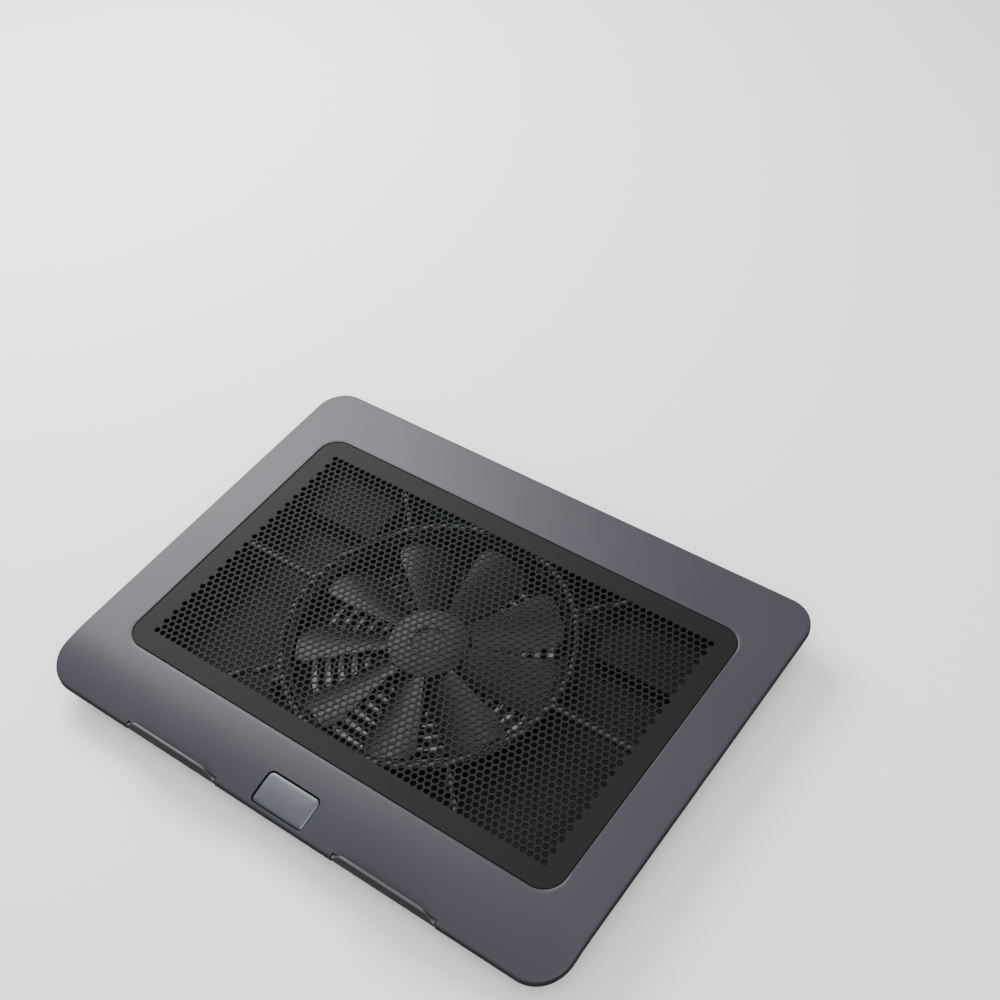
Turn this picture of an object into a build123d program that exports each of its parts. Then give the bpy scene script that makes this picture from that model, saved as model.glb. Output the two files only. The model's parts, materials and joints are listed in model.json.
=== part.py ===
from build123d import *
import math
import os

os.makedirs("parts", exist_ok=True)

# Slim laptop cooling pad: a wide top cover with thin overhanging edges, a black mesh deck,
# one large slow fan in a shallow base, two flip-down stops at the front edge and two
# fold-out feet at the rear.
# Millimetres. X runs to the user's right, Y away from the user, Z up.
# The origin is on the desk, under the middle of the pad.

# ---- driving dimensions -------------------------------------------------------------
pad_width = 323.0
pad_depth = 242.0
deck_height = 23.0
front_corner_radius = 18.5
rear_corner_radius = 16.5
strip_depth = 34.0
strip_drop = 5.6
edge_thickness = 4.0
cover_wall = 2.4
rim_band = 8.0
part_line = 17.0
desk_gap = 2.0
shell_wall = 2.0

window_width = 266.0
window_depth = 164.0
window_centre_y = 2.0
window_radius = 8.0
panel_ledge = 4.0
panel_thickness = 0.8
panel_recess = 0.2
panel_gap = 0.4
panel_hole = 3.6
panel_pitch = 6.4

fan_y = 2.0
fan_bore = 71.5
fan_ring_wall = 2.0
fan_floor = 4.6
fan_top = 17.6
fan_ear_radius = 81.0
blade_count = 9
blade_radius = 70.0
hub_radius = 22.0

stopper_x = 68.0
stopper_base_length = 61.0
stopper_top_length = 48.0
stopper_blade = 2.0
stopper_barrel = 1.9
stopper_rise = 8.1
stopper_pin_radius = 0.8

badge_width = 31.8
badge_depth = 16.5
badge_from_edge = 2.7
badge_x = 0.9
badge_groove = 0.6
badge_thickness = 1.2

foot_x = 100.0
foot_width = 44.0
foot_length = 44.0
foot_hinge_y = 90.0
foot_hinge_z = 6.4
foot_barrel = 3.6
foot_top_offset = 1.3
foot_bottom_offset = -3.6
foot_trunnion = 2.0
pocket_wall = 3.0
pocket_roof_z = 11.4

pin_clearance = 0.05
screw_clearance = 0.03

# ---- places worked out from them ----------------------------------------------------
half_width = pad_width / 2
half_depth = pad_depth / 2
front_y = -half_depth
strip_start_y = front_y + strip_depth
edge_top = deck_height - strip_drop
stopper_y = front_y + stopper_barrel
stopper_z = edge_top - edge_thickness / 2
floor_top = desk_gap + shell_wall

base_top_half_width = 148.5
base_top_front = -107.0
base_top_rear = 108.0
base_low_half_width = 144.0
base_low_front = -101.0
base_low_rear = 103.0
base_top_radius = 12.0
base_low_radius = 9.0

case_screw_points = [
    (-139.0, -93.5),
    (139.0, -93.5),
    (-60.0, -93.5),
    (60.0, -93.5),
    (-139.0, 2.0),
    (139.0, 2.0),
    (-139.0, 96.0),
    (139.0, 96.0),
]
boss_radius = 3.6
boss_join = 12.0
screw_head_z = 8.0
screw_shank_radius = 1.3
screw_head_radius = 2.4

socket_face_y = 104.8
board_x = -40.0
board_y = 90.0
board_width = 56.0
board_depth = 20.0
board_low = 6.0
board_thickness = 1.6
board_top = board_low + board_thickness
usb_x = -58.0
inlet_x = -38.0
switch_x = -22.0
switch_travel = 3.0
lead_angle = 117.0
lead_radius = 0.7


def strip_height(y):
    """Top surface of the front strip, which falls away in a curve towards the front edge."""
    k = max(0.0, (strip_start_y - y) / strip_depth)
    return deck_height - strip_drop * k * k


def outline(inset=0.0):
    """Pad outline in plan, with larger front corners than rear ones."""
    x1 = half_width - inset
    y1 = half_depth - inset
    front_r = front_corner_radius - inset * 0.6
    rear_r = rear_corner_radius - inset * 0.6
    with BuildSketch() as plan:
        Rectangle(2 * x1, 2 * y1)
        corners = plan.vertices().group_by(Axis.Y)
        fillet(corners[0], front_r)
        corners = plan.vertices().filter_by(lambda v: v.Y > 0).filter_by(lambda v: abs(v.X) > x1 - 0.1)
        fillet(corners, rear_r)
    return plan.sketch


def side_band(top_offset, thickness):
    """Side profile of a layer that follows the deck and the falling front strip."""
    count = 8
    span = [strip_start_y - strip_depth * i / count for i in range(count + 1)]
    upper = [(y, strip_height(y) - top_offset) for y in span]
    lower = [(y, z - thickness) for y, z in reversed(upper)]
    rear = half_depth
    with BuildSketch(Plane.YZ) as band:
        with BuildLine():
            flat_top = Line((rear, deck_height - top_offset), upper[0])
            Spline(*upper, tangents=[(-1, 0), (-1, -2 * strip_drop / strip_depth)])
            Line(upper[-1], lower[0])
            Spline(*lower, tangents=[(1, 2 * strip_drop / strip_depth), (1, 0)])
            Line(lower[-1], (rear, deck_height - top_offset - thickness))
            Line((rear, deck_height - top_offset - thickness), flat_top @ 0)
        make_face()
    return band.sketch


def ring_sketch(plane, outer, inner):
    with BuildSketch(plane) as ring:
        Circle(outer)
        Circle(inner, mode=Mode.SUBTRACT)
    return ring.sketch


def base_outline(z_level, inset):
    """Rounded outline of the base at a height between its floor and the part line."""
    k = (z_level - desk_gap) / (part_line - desk_gap)
    half = base_low_half_width + k * (base_top_half_width - base_low_half_width) - inset
    front = base_low_front + k * (base_top_front - base_low_front) + inset
    rear = base_low_rear + k * (base_top_rear - base_low_rear) - inset
    radius = base_low_radius + k * (base_top_radius - base_low_radius) - inset
    with BuildSketch(Plane.XY.offset(z_level)) as plan:
        with Locations((0, (front + rear) / 2)):
            RectangleRounded(2 * half, rear - front, radius)
    return plan.sketch


def fan_plane(z_level):
    return Plane(origin=(0, fan_y, z_level))


fan_screw_points = [
    (
        fan_ear_radius * math.cos(math.radians(45 + 90 * i)),
        fan_y + fan_ear_radius * math.sin(math.radians(45 + 90 * i)),
    )
    for i in range(4)
]
board_screw_points = [(board_x - 24.5, board_y - 6.0), (board_x + 24.5, board_y - 6.0)]

# ---- top cover: one moulding, with its rim, skirt, ribs, bosses and stop notches -----
panel_seat_z = deck_height - panel_recess - panel_thickness
guard_radius = 76.0

with BuildPart() as top_cover:
    extrude(side_band(0.0, edge_thickness), amount=half_width, both=True)
    extrude(outline(), amount=deck_height + 5, mode=Mode.INTERSECT)
with BuildPart() as cover_hollow:
    extrude(side_band(cover_wall, 12.0), amount=half_width, both=True)
    extrude(outline(rim_band), amount=deck_height + 5, mode=Mode.INTERSECT)
with BuildPart() as cover_skirt:
    extrude(base_outline(part_line, 0.0), amount=deck_height - cover_wall / 2 - part_line)
    extrude(base_outline(part_line, shell_wall), amount=deck_height - part_line, mode=Mode.SUBTRACT)
    for x, y in case_screw_points:
        with BuildSketch(Plane.XY.offset(boss_join)) as boss_plan:
            with Locations((x, y)):
                Circle(boss_radius)
        extrude(amount=deck_height - cover_wall / 2 - boss_join)
with BuildPart() as under_deck:
    extrude(side_band(cover_wall / 2, 20.0), amount=half_width, both=True)
with BuildPart() as window_ribs:
    extrude(ring_sketch(fan_plane(18.9), guard_radius + 2.0, guard_radius - 1.0), amount=panel_seat_z - 18.9)
    for i in range(8):
        rib_angle = 45 * i
        with BuildSketch(fan_plane(18.9).rotated((0, 0, rib_angle))):
            with Locations((guard_radius + 60, 0)):
                Rectangle(120, 2.4)
        extrude(amount=panel_seat_z - 18.9)
    with BuildSketch(Plane.XY.offset(18.0)):
        with Locations((0, window_centre_y)):
            Rectangle(window_width + 2, window_depth + 2)
    extrude(amount=5, mode=Mode.INTERSECT)
with top_cover:
    add(cover_hollow, mode=Mode.SUBTRACT)
    add(cover_skirt.part & under_deck.part)
    with BuildSketch(Plane.XY.offset(panel_seat_z)):
        with Locations((0, window_centre_y)):
            RectangleRounded(
                window_width + 2 * panel_ledge,
                window_depth + 2 * panel_ledge,
                window_radius + panel_ledge,
            )
    extrude(amount=5, mode=Mode.SUBTRACT)
    with BuildSketch(Plane.XY.offset(17.0)):
        with Locations((0, window_centre_y)):
            RectangleRounded(window_width, window_depth, window_radius)
    extrude(amount=8, mode=Mode.SUBTRACT)
    add(window_ribs)
    # blind pilot holes for the case screws
    with BuildSketch(Plane.XY.offset(boss_join)):
        with Locations(*case_screw_points):
            Circle(screw_shank_radius + screw_clearance)
    extrude(amount=6.6, mode=Mode.SUBTRACT)
    # badge pocket in the falling strip
    badge_y = front_y + badge_from_edge + badge_depth / 2
    badge_slope = math.degrees(math.atan(2 * strip_drop * (strip_start_y - badge_y) / strip_depth**2))
    badge_plane = Plane(
        origin=(badge_x, badge_y, strip_height(badge_y)),
        x_dir=(1, 0, 0),
        z_dir=(0, -math.sin(math.radians(badge_slope)), math.cos(math.radians(badge_slope))),
    )
    with BuildSketch(badge_plane.offset(-badge_thickness - 0.3)):
        RectangleRounded(badge_width + 2 * badge_groove, badge_depth + 2 * badge_groove, 3.2)
    extrude(amount=4, mode=Mode.SUBTRACT)
    # notches and pin bores for the two stops
    for side in (-1, 1):
        with BuildSketch(Plane.XY.offset(10)):
            with Locations((side * stopper_x, front_y)):
                Rectangle(stopper_base_length + 0.6, 2 * (2 * stopper_barrel + 0.4))
        extrude(amount=14, mode=Mode.SUBTRACT)
        bore = Plane(origin=(side * stopper_x, stopper_y, stopper_z), z_dir=(1, 0, 0))
        with BuildSketch(bore):
            Circle(stopper_pin_radius + pin_clearance)
        extrude(amount=stopper_base_length / 2 + 4.2, both=True, mode=Mode.SUBTRACT)
top_cover.part.label = "top_cover"
export_step(top_cover.part, "parts/top_cover.step")

# ---- mesh panel: perforated steel sheet that lies on the ledge round the window -----
panel_width = window_width + 2 * (panel_ledge - panel_gap)
panel_depth = window_depth + 2 * (panel_ledge - panel_gap)
hole_columns = int((window_width - 10) / panel_pitch)
hole_rows = int((window_depth - 10) / (panel_pitch * math.sqrt(3)))

with BuildPart() as mesh_panel:
    with BuildSketch(Plane.XY.offset(panel_seat_z)) as panel_plan:
        with Locations((0, window_centre_y)):
            RectangleRounded(panel_width, panel_depth, window_radius + panel_ledge - panel_gap)
        with Locations((0, window_centre_y)):
            with GridLocations(panel_pitch, panel_pitch * math.sqrt(3), hole_columns, hole_rows):
                Circle(panel_hole / 2, mode=Mode.SUBTRACT)
            with GridLocations(panel_pitch, panel_pitch * math.sqrt(3), hole_columns - 1, hole_rows - 1):
                Circle(panel_hole / 2, mode=Mode.SUBTRACT)
    extrude(amount=panel_thickness)
mesh_panel.part.label = "mesh_panel"
export_step(mesh_panel.part, "parts/mesh_panel.step")

# ---- badge plate: plain satin insert with a falling face ----------------------------
with BuildPart() as badge_plate:
    with BuildSketch(badge_plane.offset(-badge_thickness - 0.3)):
        RectangleRounded(badge_width, badge_depth, 2.6)
    extrude(amount=badge_thickness)
    fillet(badge_plate.faces().sort_by(Axis.Z)[-1].edges(), 0.35)
badge_plate.part.label = "badge_plate"
export_step(badge_plate.part, "parts/badge_plate.step")

# ---- front stops: barrel, thin upright blade with sloping ends, and a steel pin ------
for side, name in ((-1, "left"), (1, "right")):
    hinge_plane = Plane(origin=(side * stopper_x, stopper_y, stopper_z), x_dir=(0, 1, 0), z_dir=(1, 0, 0))
    blade_front = Plane(origin=(side * stopper_x, front_y, stopper_z), x_dir=(1, 0, 0), z_dir=(0, 1, 0))
    with BuildPart() as stopper:
        with BuildSketch(blade_front):
            half_base = stopper_base_length / 2
            half_top = stopper_top_length / 2
            with BuildLine():
                Polyline(
                    (-half_base, 0),
                    (half_base, 0),
                    (half_base, -stopper_barrel),
                    (half_top, -stopper_rise),
                    (-half_top, -stopper_rise),
                    (-half_base, -stopper_barrel),
                    close=True,
                )
            make_face()
        extrude(amount=stopper_blade)
        fillet(stopper.edges().filter_by(Axis.Y).group_by(Axis.Z)[-1], 2.5)
        crest = stopper.edges().filter_by(lambda e: e.center().Z > stopper_z + 2.5 and e.length > 4)
        fillet(crest, stopper_blade * 0.4)
        with BuildSketch(hinge_plane):
            Circle(stopper_barrel)
        extrude(amount=stopper_base_length / 2, both=True)
        with BuildSketch(hinge_plane):
            Circle(stopper_pin_radius + pin_clearance)
        extrude(amount=stopper_base_length / 2 + 1, both=True, mode=Mode.SUBTRACT)
    stopper.part.label = name + "_stopper"
    export_step(stopper.part, "parts/" + name + "_stopper.step")

    with BuildPart() as stopper_pin:
        with BuildSketch(hinge_plane):
            Circle(stopper_pin_radius)
        extrude(amount=stopper_base_length / 2 + 4.0, both=True)
        chamfer(stopper_pin.edges(), 0.2)
    stopper_pin.part.label = name + "_stopper_pin"
    export_step(stopper_pin.part, "parts/" + name + "_stopper_pin.step")

# ---- base shell: shallow tub with intake slots, bosses, foot pockets and sockets -----
slot_radii = (27.0, 34.0, 41.0, 48.0, 55.0, 62.0)
slot_width = 3.4
spoke_width = 5.0
spoke_count = 8
pocket_front_y = foot_hinge_y - foot_length - 1.5
pocket_rear_y = foot_hinge_y + 5.2
pocket_half_width = foot_width / 2 + 0.8
fan_boss_top = 8.0

with BuildPart() as base_cavity:
    loft([base_outline(floor_top, shell_wall), base_outline(part_line + 0.001, shell_wall)])
with BuildPart() as base_shell:
    loft([base_outline(desk_gap, 0.0), base_outline(part_line - 0.1, 0.0)])
    fillet(base_shell.faces().sort_by(Axis.Z)[0].edges(), 1.5)
    add(base_cavity, mode=Mode.SUBTRACT)
    # screw bosses with head wells that open downwards
    with BuildSketch(Plane.XY.offset(desk_gap + 0.5)):
        with Locations(*case_screw_points):
            Circle(boss_radius)
    extrude(amount=boss_join - 0.1 - desk_gap - 0.5)
    # bosses for the fan frame and the control board
    with BuildSketch(Plane.XY.offset(floor_top - 1)):
        with Locations(*fan_screw_points):
            Circle(4.0)
    extrude(amount=fan_boss_top - floor_top + 1)
    with BuildSketch(Plane.XY.offset(floor_top - 1)):
        with Locations(*board_screw_points):
            Circle(2.6)
    extrude(amount=board_low - floor_top + 1)
    # pockets for the two rear feet
    for side in (-1, 1):
        with BuildSketch(Plane.XY.offset(desk_gap)):
            with Locations((side * foot_x, (pocket_front_y + pocket_rear_y) / 2)):
                Rectangle(
                    2 * (pocket_half_width + pocket_wall),
                    pocket_rear_y - pocket_front_y + 2 * shell_wall,
                )
        extrude(amount=pocket_roof_z + 1.6 - desk_gap)
        with BuildSketch(Plane.XY):
            with Locations((side * foot_x, (pocket_front_y + pocket_rear_y) / 2)):
                Rectangle(2 * pocket_half_width, pocket_rear_y - pocket_front_y)
        extrude(amount=pocket_roof_z, mode=Mode.SUBTRACT)
        trunnion_plane = Plane(origin=(side * foot_x, foot_hinge_y, foot_hinge_z), z_dir=(1, 0, 0))
        with BuildSketch(trunnion_plane):
            Circle(foot_trunnion + pin_clearance)
        extrude(amount=pocket_half_width + pocket_wall - 0.4, both=True, mode=Mode.SUBTRACT)
    # air intake under the fan
    with BuildSketch(fan_plane(0)):
        for radius in reversed(slot_radii):
            Circle(radius + slot_width / 2)
            Circle(radius - slot_width / 2, mode=Mode.SUBTRACT)
        with PolarLocations(45, spoke_count, start_angle=22.5):
            Rectangle(90, spoke_width, mode=Mode.SUBTRACT)
    extrude(amount=floor_top + 0.2, mode=Mode.SUBTRACT)
    # wells and holes for screws
    with BuildSketch(Plane.XY):
        with Locations(*case_screw_points):
            Circle(screw_head_radius + 0.3)
    extrude(amount=screw_head_z, mode=Mode.SUBTRACT)
    with BuildSketch(Plane.XY):
        with Locations(*case_screw_points):
            Circle(screw_shank_radius + 0.15)
    extrude(amount=boss_join + 2, mode=Mode.SUBTRACT)
    with BuildSketch(Plane.XY.offset(floor_top)):
        with Locations(*fan_screw_points):
            Circle(1.5 + screw_clearance)
    extrude(amount=8, mode=Mode.SUBTRACT)
    with BuildSketch(Plane.XY.offset(desk_gap + 0.8)):
        with Locations(*board_screw_points):
            Circle(1.0 + screw_clearance)
    extrude(amount=8, mode=Mode.SUBTRACT)
    # openings in the rear wall for the two sockets and the switch
    with BuildSketch(Plane(origin=(0, 100, board_top), x_dir=(1, 0, 0), z_dir=(0, 1, 0))) as ports:
        with Locations((usb_x, -3.0)):
            Rectangle(13.8, 6.6)
        with Locations((inlet_x, -1.4)):
            RectangleRounded(8.4, 3.6, 0.8)
        with Locations((switch_x, -2.0)):
            Rectangle(2.8 + switch_travel, 2.8)
    extrude(amount=12, mode=Mode.SUBTRACT)
    # shallow seats for the four desk pads
    with BuildSketch(Plane.XY.offset(desk_gap)):
        with Locations((-118, -86), (118, -86), (-60, 92), (60, 92)):
            RectangleRounded(26.4, 9.4, 4.6)
    extrude(amount=0.6, mode=Mode.SUBTRACT)
base_shell.part.label = "base_shell"
export_step(base_shell.part, "parts/base_shell.step")

# ---- desk pads: soft blocks glued into the seats ------------------------------------
pad_points = {
    "front_left_pad": (-118, -86),
    "front_right_pad": (118, -86),
    "rear_left_pad": (-60, 92),
    "rear_right_pad": (60, 92),
}
for name, (x, y) in pad_points.items():
    with BuildPart() as desk_pad:
        with BuildSketch():
            with Locations((x, y)):
                RectangleRounded(26.0, 9.0, 4.4)
        extrude(amount=desk_gap + 0.6)
        fillet(desk_pad.faces().sort_by(Axis.Z)[0].edges(), 0.8)
    desk_pad.part.label = name
    export_step(desk_pad.part, "parts/" + name + ".step")

# ---- rear feet: plates that lie in the pockets and swing down on moulded trunnions ---
tip_length = 5.0
for side, name in ((-1, "left"), (1, "right")):
    foot_side_plane = Plane(origin=(side * foot_x, foot_hinge_y, foot_hinge_z), x_dir=(0, 1, 0), z_dir=(1, 0, 0))
    plate_front = -foot_length + tip_length
    with BuildPart() as foot:
        with BuildSketch(foot_side_plane):
            Circle(foot_barrel)
            with BuildLine():
                Polyline(
                    (0, foot_top_offset),
                    (plate_front, foot_top_offset),
                    (plate_front, foot_bottom_offset),
                    (0, foot_bottom_offset),
                    close=True,
                )
            make_face()
        extrude(amount=foot_width / 2, both=True)
        # lightening recess in the upper face
        with BuildSketch(Plane.XY.offset(foot_hinge_z + foot_top_offset)):
            with Locations((side * foot_x, foot_hinge_y - 22)):
                RectangleRounded(foot_width - 8, 26, 2)
        extrude(amount=-2.6, mode=Mode.SUBTRACT)
        # tongue that the soft tip is pushed on to
        with BuildSketch(foot_side_plane):
            with Locations((plate_front - tip_length / 2 + 1.0, -1.15)):
                Rectangle(tip_length - 2.0, 1.9)
        extrude(amount=foot_width / 2 - 3, both=True)
        with BuildSketch(foot_side_plane):
            Circle(foot_trunnion)
        extrude(amount=pocket_half_width + pocket_wall - 0.9, both=True)
    foot.part.label = name + "_foot"
    export_step(foot.part, "parts/" + name + "_foot.step")

    with BuildPart() as foot_tip:
        with BuildSketch(foot_side_plane):
            with Locations((plate_front - tip_length / 2, (foot_top_offset + foot_bottom_offset) / 2)):
                Rectangle(tip_length, foot_top_offset - foot_bottom_offset)
        extrude(amount=foot_width / 2, both=True)
        fillet(foot_tip.faces().sort_by(Axis.Y)[0].edges().filter_by(Axis.X), 1.6)
        with BuildSketch(foot_side_plane):
            with Locations((plate_front - tip_length / 2 + 1.0, -1.15)):
                Rectangle(tip_length - 2.0, 1.9)
        extrude(amount=foot_width / 2 - 3, both=True, mode=Mode.SUBTRACT)
    foot_tip.part.label = name + "_foot_tip"
    export_step(foot_tip.part, "parts/" + name + "_foot_tip.step")

# ---- fan frame: bore ring, four struts with lead groove, motor seat and ears ---------
strut_angles = [lead_angle + 90 * i for i in range(4)]
seat_radius = 18.0
seat_thickness = 2.0
tube_outer = 4.2
tube_inner = 3.05

with BuildPart() as fan_frame:
    extrude(ring_sketch(fan_plane(fan_floor), fan_bore + fan_ring_wall, fan_bore), amount=fan_top - fan_floor)
    with BuildSketch(fan_plane(fan_floor)):
        Circle(seat_radius)
        for angle in strut_angles:
            with PolarLocations((seat_radius + fan_bore) / 2, 1, start_angle=angle):
                Rectangle(fan_bore - seat_radius + 2, 6)
    extrude(amount=seat_thickness)
    with BuildSketch(fan_plane(fan_floor)):
        Circle(tube_outer)
    extrude(amount=10.0)
    for angle in (45, 135, 225, 315):
        with BuildSketch(fan_plane(fan_boss_top)) as ear:
            with PolarLocations(fan_ear_radius, 1, start_angle=angle):
                Circle(5.0)
            with PolarLocations(fan_bore + 6.0, 1, start_angle=angle):
                Rectangle(10, 10)
            Circle(fan_bore + 0.5, mode=Mode.SUBTRACT)
        extrude(amount=2.6)
    with BuildSketch(Plane.XY.offset(fan_boss_top - 1)):
        with Locations(*fan_screw_points):
            Circle(1.65)
    extrude(amount=5, mode=Mode.SUBTRACT)
    # bearing bore, blind at the bottom
    with BuildSketch(fan_plane(fan_floor + 0.8)):
        Circle(tube_inner)
    extrude(amount=12, mode=Mode.SUBTRACT)
    # groove for the lead along the first strut and out through the ring
    with BuildSketch(fan_plane(fan_floor + 0.5)):
        with PolarLocations(55.0, 1, start_angle=lead_angle):
            Rectangle(82, 2 * lead_radius + 0.8)
    extrude(amount=2.4, mode=Mode.SUBTRACT)
fan_frame.part.label = "fan_frame"
export_step(fan_frame.part, "parts/fan_frame.step")

# ---- impeller: moulded hub with nine swept blades -----------------------------------
hub_low = 8.8
hub_top = 17.4
hub_wall = 1.6
yoke_outer = hub_radius - hub_wall
blade_mid_z = 13.4
root_chord = 17.0
root_pitch = 30.0
tip_chord = 34.0
tip_pitch = 14.0
blade_thickness = 1.3
blade_camber = 0.07


def blade_section(x, sweep_back, chord, pitch):
    """Cambered section of a blade at a distance from the fan's axis."""
    slope = math.radians(pitch)
    station = Plane(
        origin=(x, fan_y + sweep_back, blade_mid_z),
        x_dir=(0, math.cos(slope), math.sin(slope)),
        z_dir=(1, 0, 0),
    )
    half = chord / 2
    skin = blade_thickness / 2
    sag = blade_camber * chord / 2
    with BuildSketch(station) as section:
        with BuildLine():
            ThreePointArc((-half, skin - sag), (0, skin + sag), (half, skin - sag))
            Line((half, skin - sag), (half, -skin - sag))
            ThreePointArc((half, -skin - sag), (0, sag - skin), (-half, -skin - sag))
            Line((-half, -skin - sag), (-half, skin - sag))
        make_face()
    return section.sketch


blade_sections = [
    blade_section(hub_radius - 1.2, 0.0, root_chord, root_pitch),
    blade_section(73.0, 11.0, tip_chord, tip_pitch),
]
with BuildPart() as blade_blank:
    loft(blade_sections)
    with BuildSketch(fan_plane(0)):
        Circle(blade_radius)
    extrude(amount=30, mode=Mode.INTERSECT)

with BuildPart() as fan_impeller:
    extrude(ring_sketch(fan_plane(hub_low), hub_radius, yoke_outer), amount=hub_top - hub_low)
    with BuildSketch(fan_plane(hub_top - 1.4)):
        Circle(hub_radius - 0.2)
    extrude(amount=1.4)
    fillet(fan_impeller.faces().sort_by(Axis.Z)[-1].edges(), 0.9)
    for i in range(blade_count):
        axis = Axis((0, fan_y, 0), (0, 0, 1))
        add(blade_blank.part.rotate(axis, 360 / blade_count * i))
    with BuildSketch(fan_plane(hub_low - 4)):
        Circle(yoke_outer)
    extrude(amount=hub_top - 1.4 - hub_low + 4, mode=Mode.SUBTRACT)
fan_impeller.part.label = "fan_impeller"
export_step(fan_impeller.part, "parts/fan_impeller.step")

# ---- motor: pressed steel yoke, ring magnet, shaft, bearing, stator and its board ----
yoke_top = hub_top - 1.4
magnet_outer = yoke_outer - 0.8
magnet_inner = magnet_outer - 2.6
shaft_radius = 1.5

with BuildPart() as rotor_yoke:
    extrude(ring_sketch(fan_plane(hub_low), yoke_outer, magnet_outer), amount=yoke_top - hub_low)
    extrude(ring_sketch(fan_plane(yoke_top - 0.8), magnet_outer + 0.1, shaft_radius), amount=0.8)
    extrude(ring_sketch(fan_plane(yoke_top - 1.9), shaft_radius + 1.2, shaft_radius), amount=1.2)
rotor_yoke.part.label = "rotor_yoke"
export_step(rotor_yoke.part, "parts/rotor_yoke.step")

with BuildPart() as rotor_magnet:
    extrude(ring_sketch(fan_plane(hub_low), magnet_outer, magnet_inner), amount=5.6)
rotor_magnet.part.label = "rotor_magnet"
export_step(rotor_magnet.part, "parts/rotor_magnet.step")

with BuildPart() as fan_shaft:
    with BuildSketch(fan_plane(fan_floor + 1.0)):
        Circle(shaft_radius)
    extrude(amount=yoke_top - fan_floor - 1.0)
    extrude(ring_sketch(fan_plane(fan_floor + 1.3), shaft_radius, shaft_radius - 0.4), amount=0.5, mode=Mode.SUBTRACT)
fan_shaft.part.label = "fan_shaft"
export_step(fan_shaft.part, "parts/fan_shaft.step")

with BuildPart() as shaft_clip:
    with BuildSketch(fan_plane(fan_floor + 1.35)):
        Circle(shaft_radius + 0.9)
        Circle(shaft_radius - 0.35, mode=Mode.SUBTRACT)
        with Locations((2.5, 0)):
            Rectangle(5, 0.8, mode=Mode.SUBTRACT)
    extrude(amount=0.4)
shaft_clip.part.label = "shaft_clip"
export_step(shaft_clip.part, "parts/shaft_clip.step")

with BuildPart() as bearing_sleeve:
    extrude(ring_sketch(fan_plane(fan_floor + 2.2), tube_inner, shaft_radius + 0.04), amount=6.9)
    chamfer(bearing_sleeve.edges().filter_by(GeomType.CIRCLE).group_by(Axis.Z)[-1], 0.3)
bearing_sleeve.part.label = "bearing_sleeve"
export_step(bearing_sleeve.part, "parts/bearing_sleeve.step")

stator_gap = 0.9
pole_face = magnet_inner - stator_gap
pole_depth = 1.8
stator_low = 9.6
stator_thickness = 3.2
arm_width = 3.6
coil_inner = 7.4
coil_outer = pole_face - pole_depth - 0.3
coil_width = 8.0
coil_cover = 1.0
pole_angles = (45, 135, 225, 315)

with BuildPart() as stator_core:
    with BuildSketch(fan_plane(stator_low)):
        Circle(pole_face)
        Circle(pole_face - pole_depth, mode=Mode.SUBTRACT)
        with PolarLocations(pole_face, 4):
            Rectangle(8, 3.0, mode=Mode.SUBTRACT)
        Circle(coil_inner - 0.4)
        with PolarLocations(coil_inner + 2.6, 4, start_angle=45):
            Rectangle(10.0, arm_width)
        Circle(tube_outer + 0.05, mode=Mode.SUBTRACT)
    extrude(amount=stator_thickness)
stator_core.part.label = "stator_core"
export_step(stator_core.part, "parts/stator_core.step")

with BuildPart() as stator_coils:
    with BuildSketch(fan_plane(stator_low - coil_cover)):
        with PolarLocations((coil_inner + coil_outer) / 2, 4, start_angle=45):
            RectangleRounded(coil_outer - coil_inner, coil_width, 1.2)
    extrude(amount=stator_thickness + 2 * coil_cover)
    fillet(stator_coils.edges().filter_by(GeomType.LINE).group_by(Axis.Z)[-1], 0.5)
    with BuildSketch(fan_plane(stator_low - 0.05)):
        with PolarLocations((coil_inner + coil_outer) / 2, 4, start_angle=45):
            Rectangle(12.0, arm_width + 0.1)
    extrude(amount=stator_thickness + 0.1, mode=Mode.SUBTRACT)
stator_coils.part.label = "stator_coils"
export_step(stator_coils.part, "parts/stator_coils.step")

motor_board_low = fan_floor + seat_thickness + 0.1
with BuildPart() as motor_board:
    extrude(ring_sketch(fan_plane(motor_board_low), seat_radius - 1.0, tube_outer + 0.1), amount=1.0)
    with BuildSketch(fan_plane(motor_board_low + 1.0)):
        with Locations((0, -11.0)):
            Rectangle(4.0, 3.0)
    extrude(amount=0.7)
motor_board.part.label = "motor_board"
export_step(motor_board.part, "parts/motor_board.step")

# ---- fan screws: down through the ears into the base --------------------------------
with BuildPart() as fan_screws:
    ear_top = fan_boss_top + 2.6
    with BuildSketch(Plane.XY.offset(ear_top)):
        with Locations(*fan_screw_points):
            Circle(2.7)
    extrude(amount=1.8)
    fillet(fan_screws.faces().filter_by(Axis.Z).group_by(Axis.Z)[-1].edges(), 0.6)
    with BuildSketch(Plane.XY.offset(ear_top + 0.8)):
        with Locations(*fan_screw_points):
            Rectangle(3.2, 0.7)
            Rectangle(0.7, 3.2)
    extrude(amount=2, mode=Mode.SUBTRACT)
    with BuildSketch(Plane.XY.offset(floor_top + 0.4)):
        with Locations(*fan_screw_points):
            Circle(1.5)
    extrude(amount=ear_top - floor_top - 0.4)
fan_screws.part.label = "fan_screws"
export_step(fan_screws.part, "parts/fan_screws.step")

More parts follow.
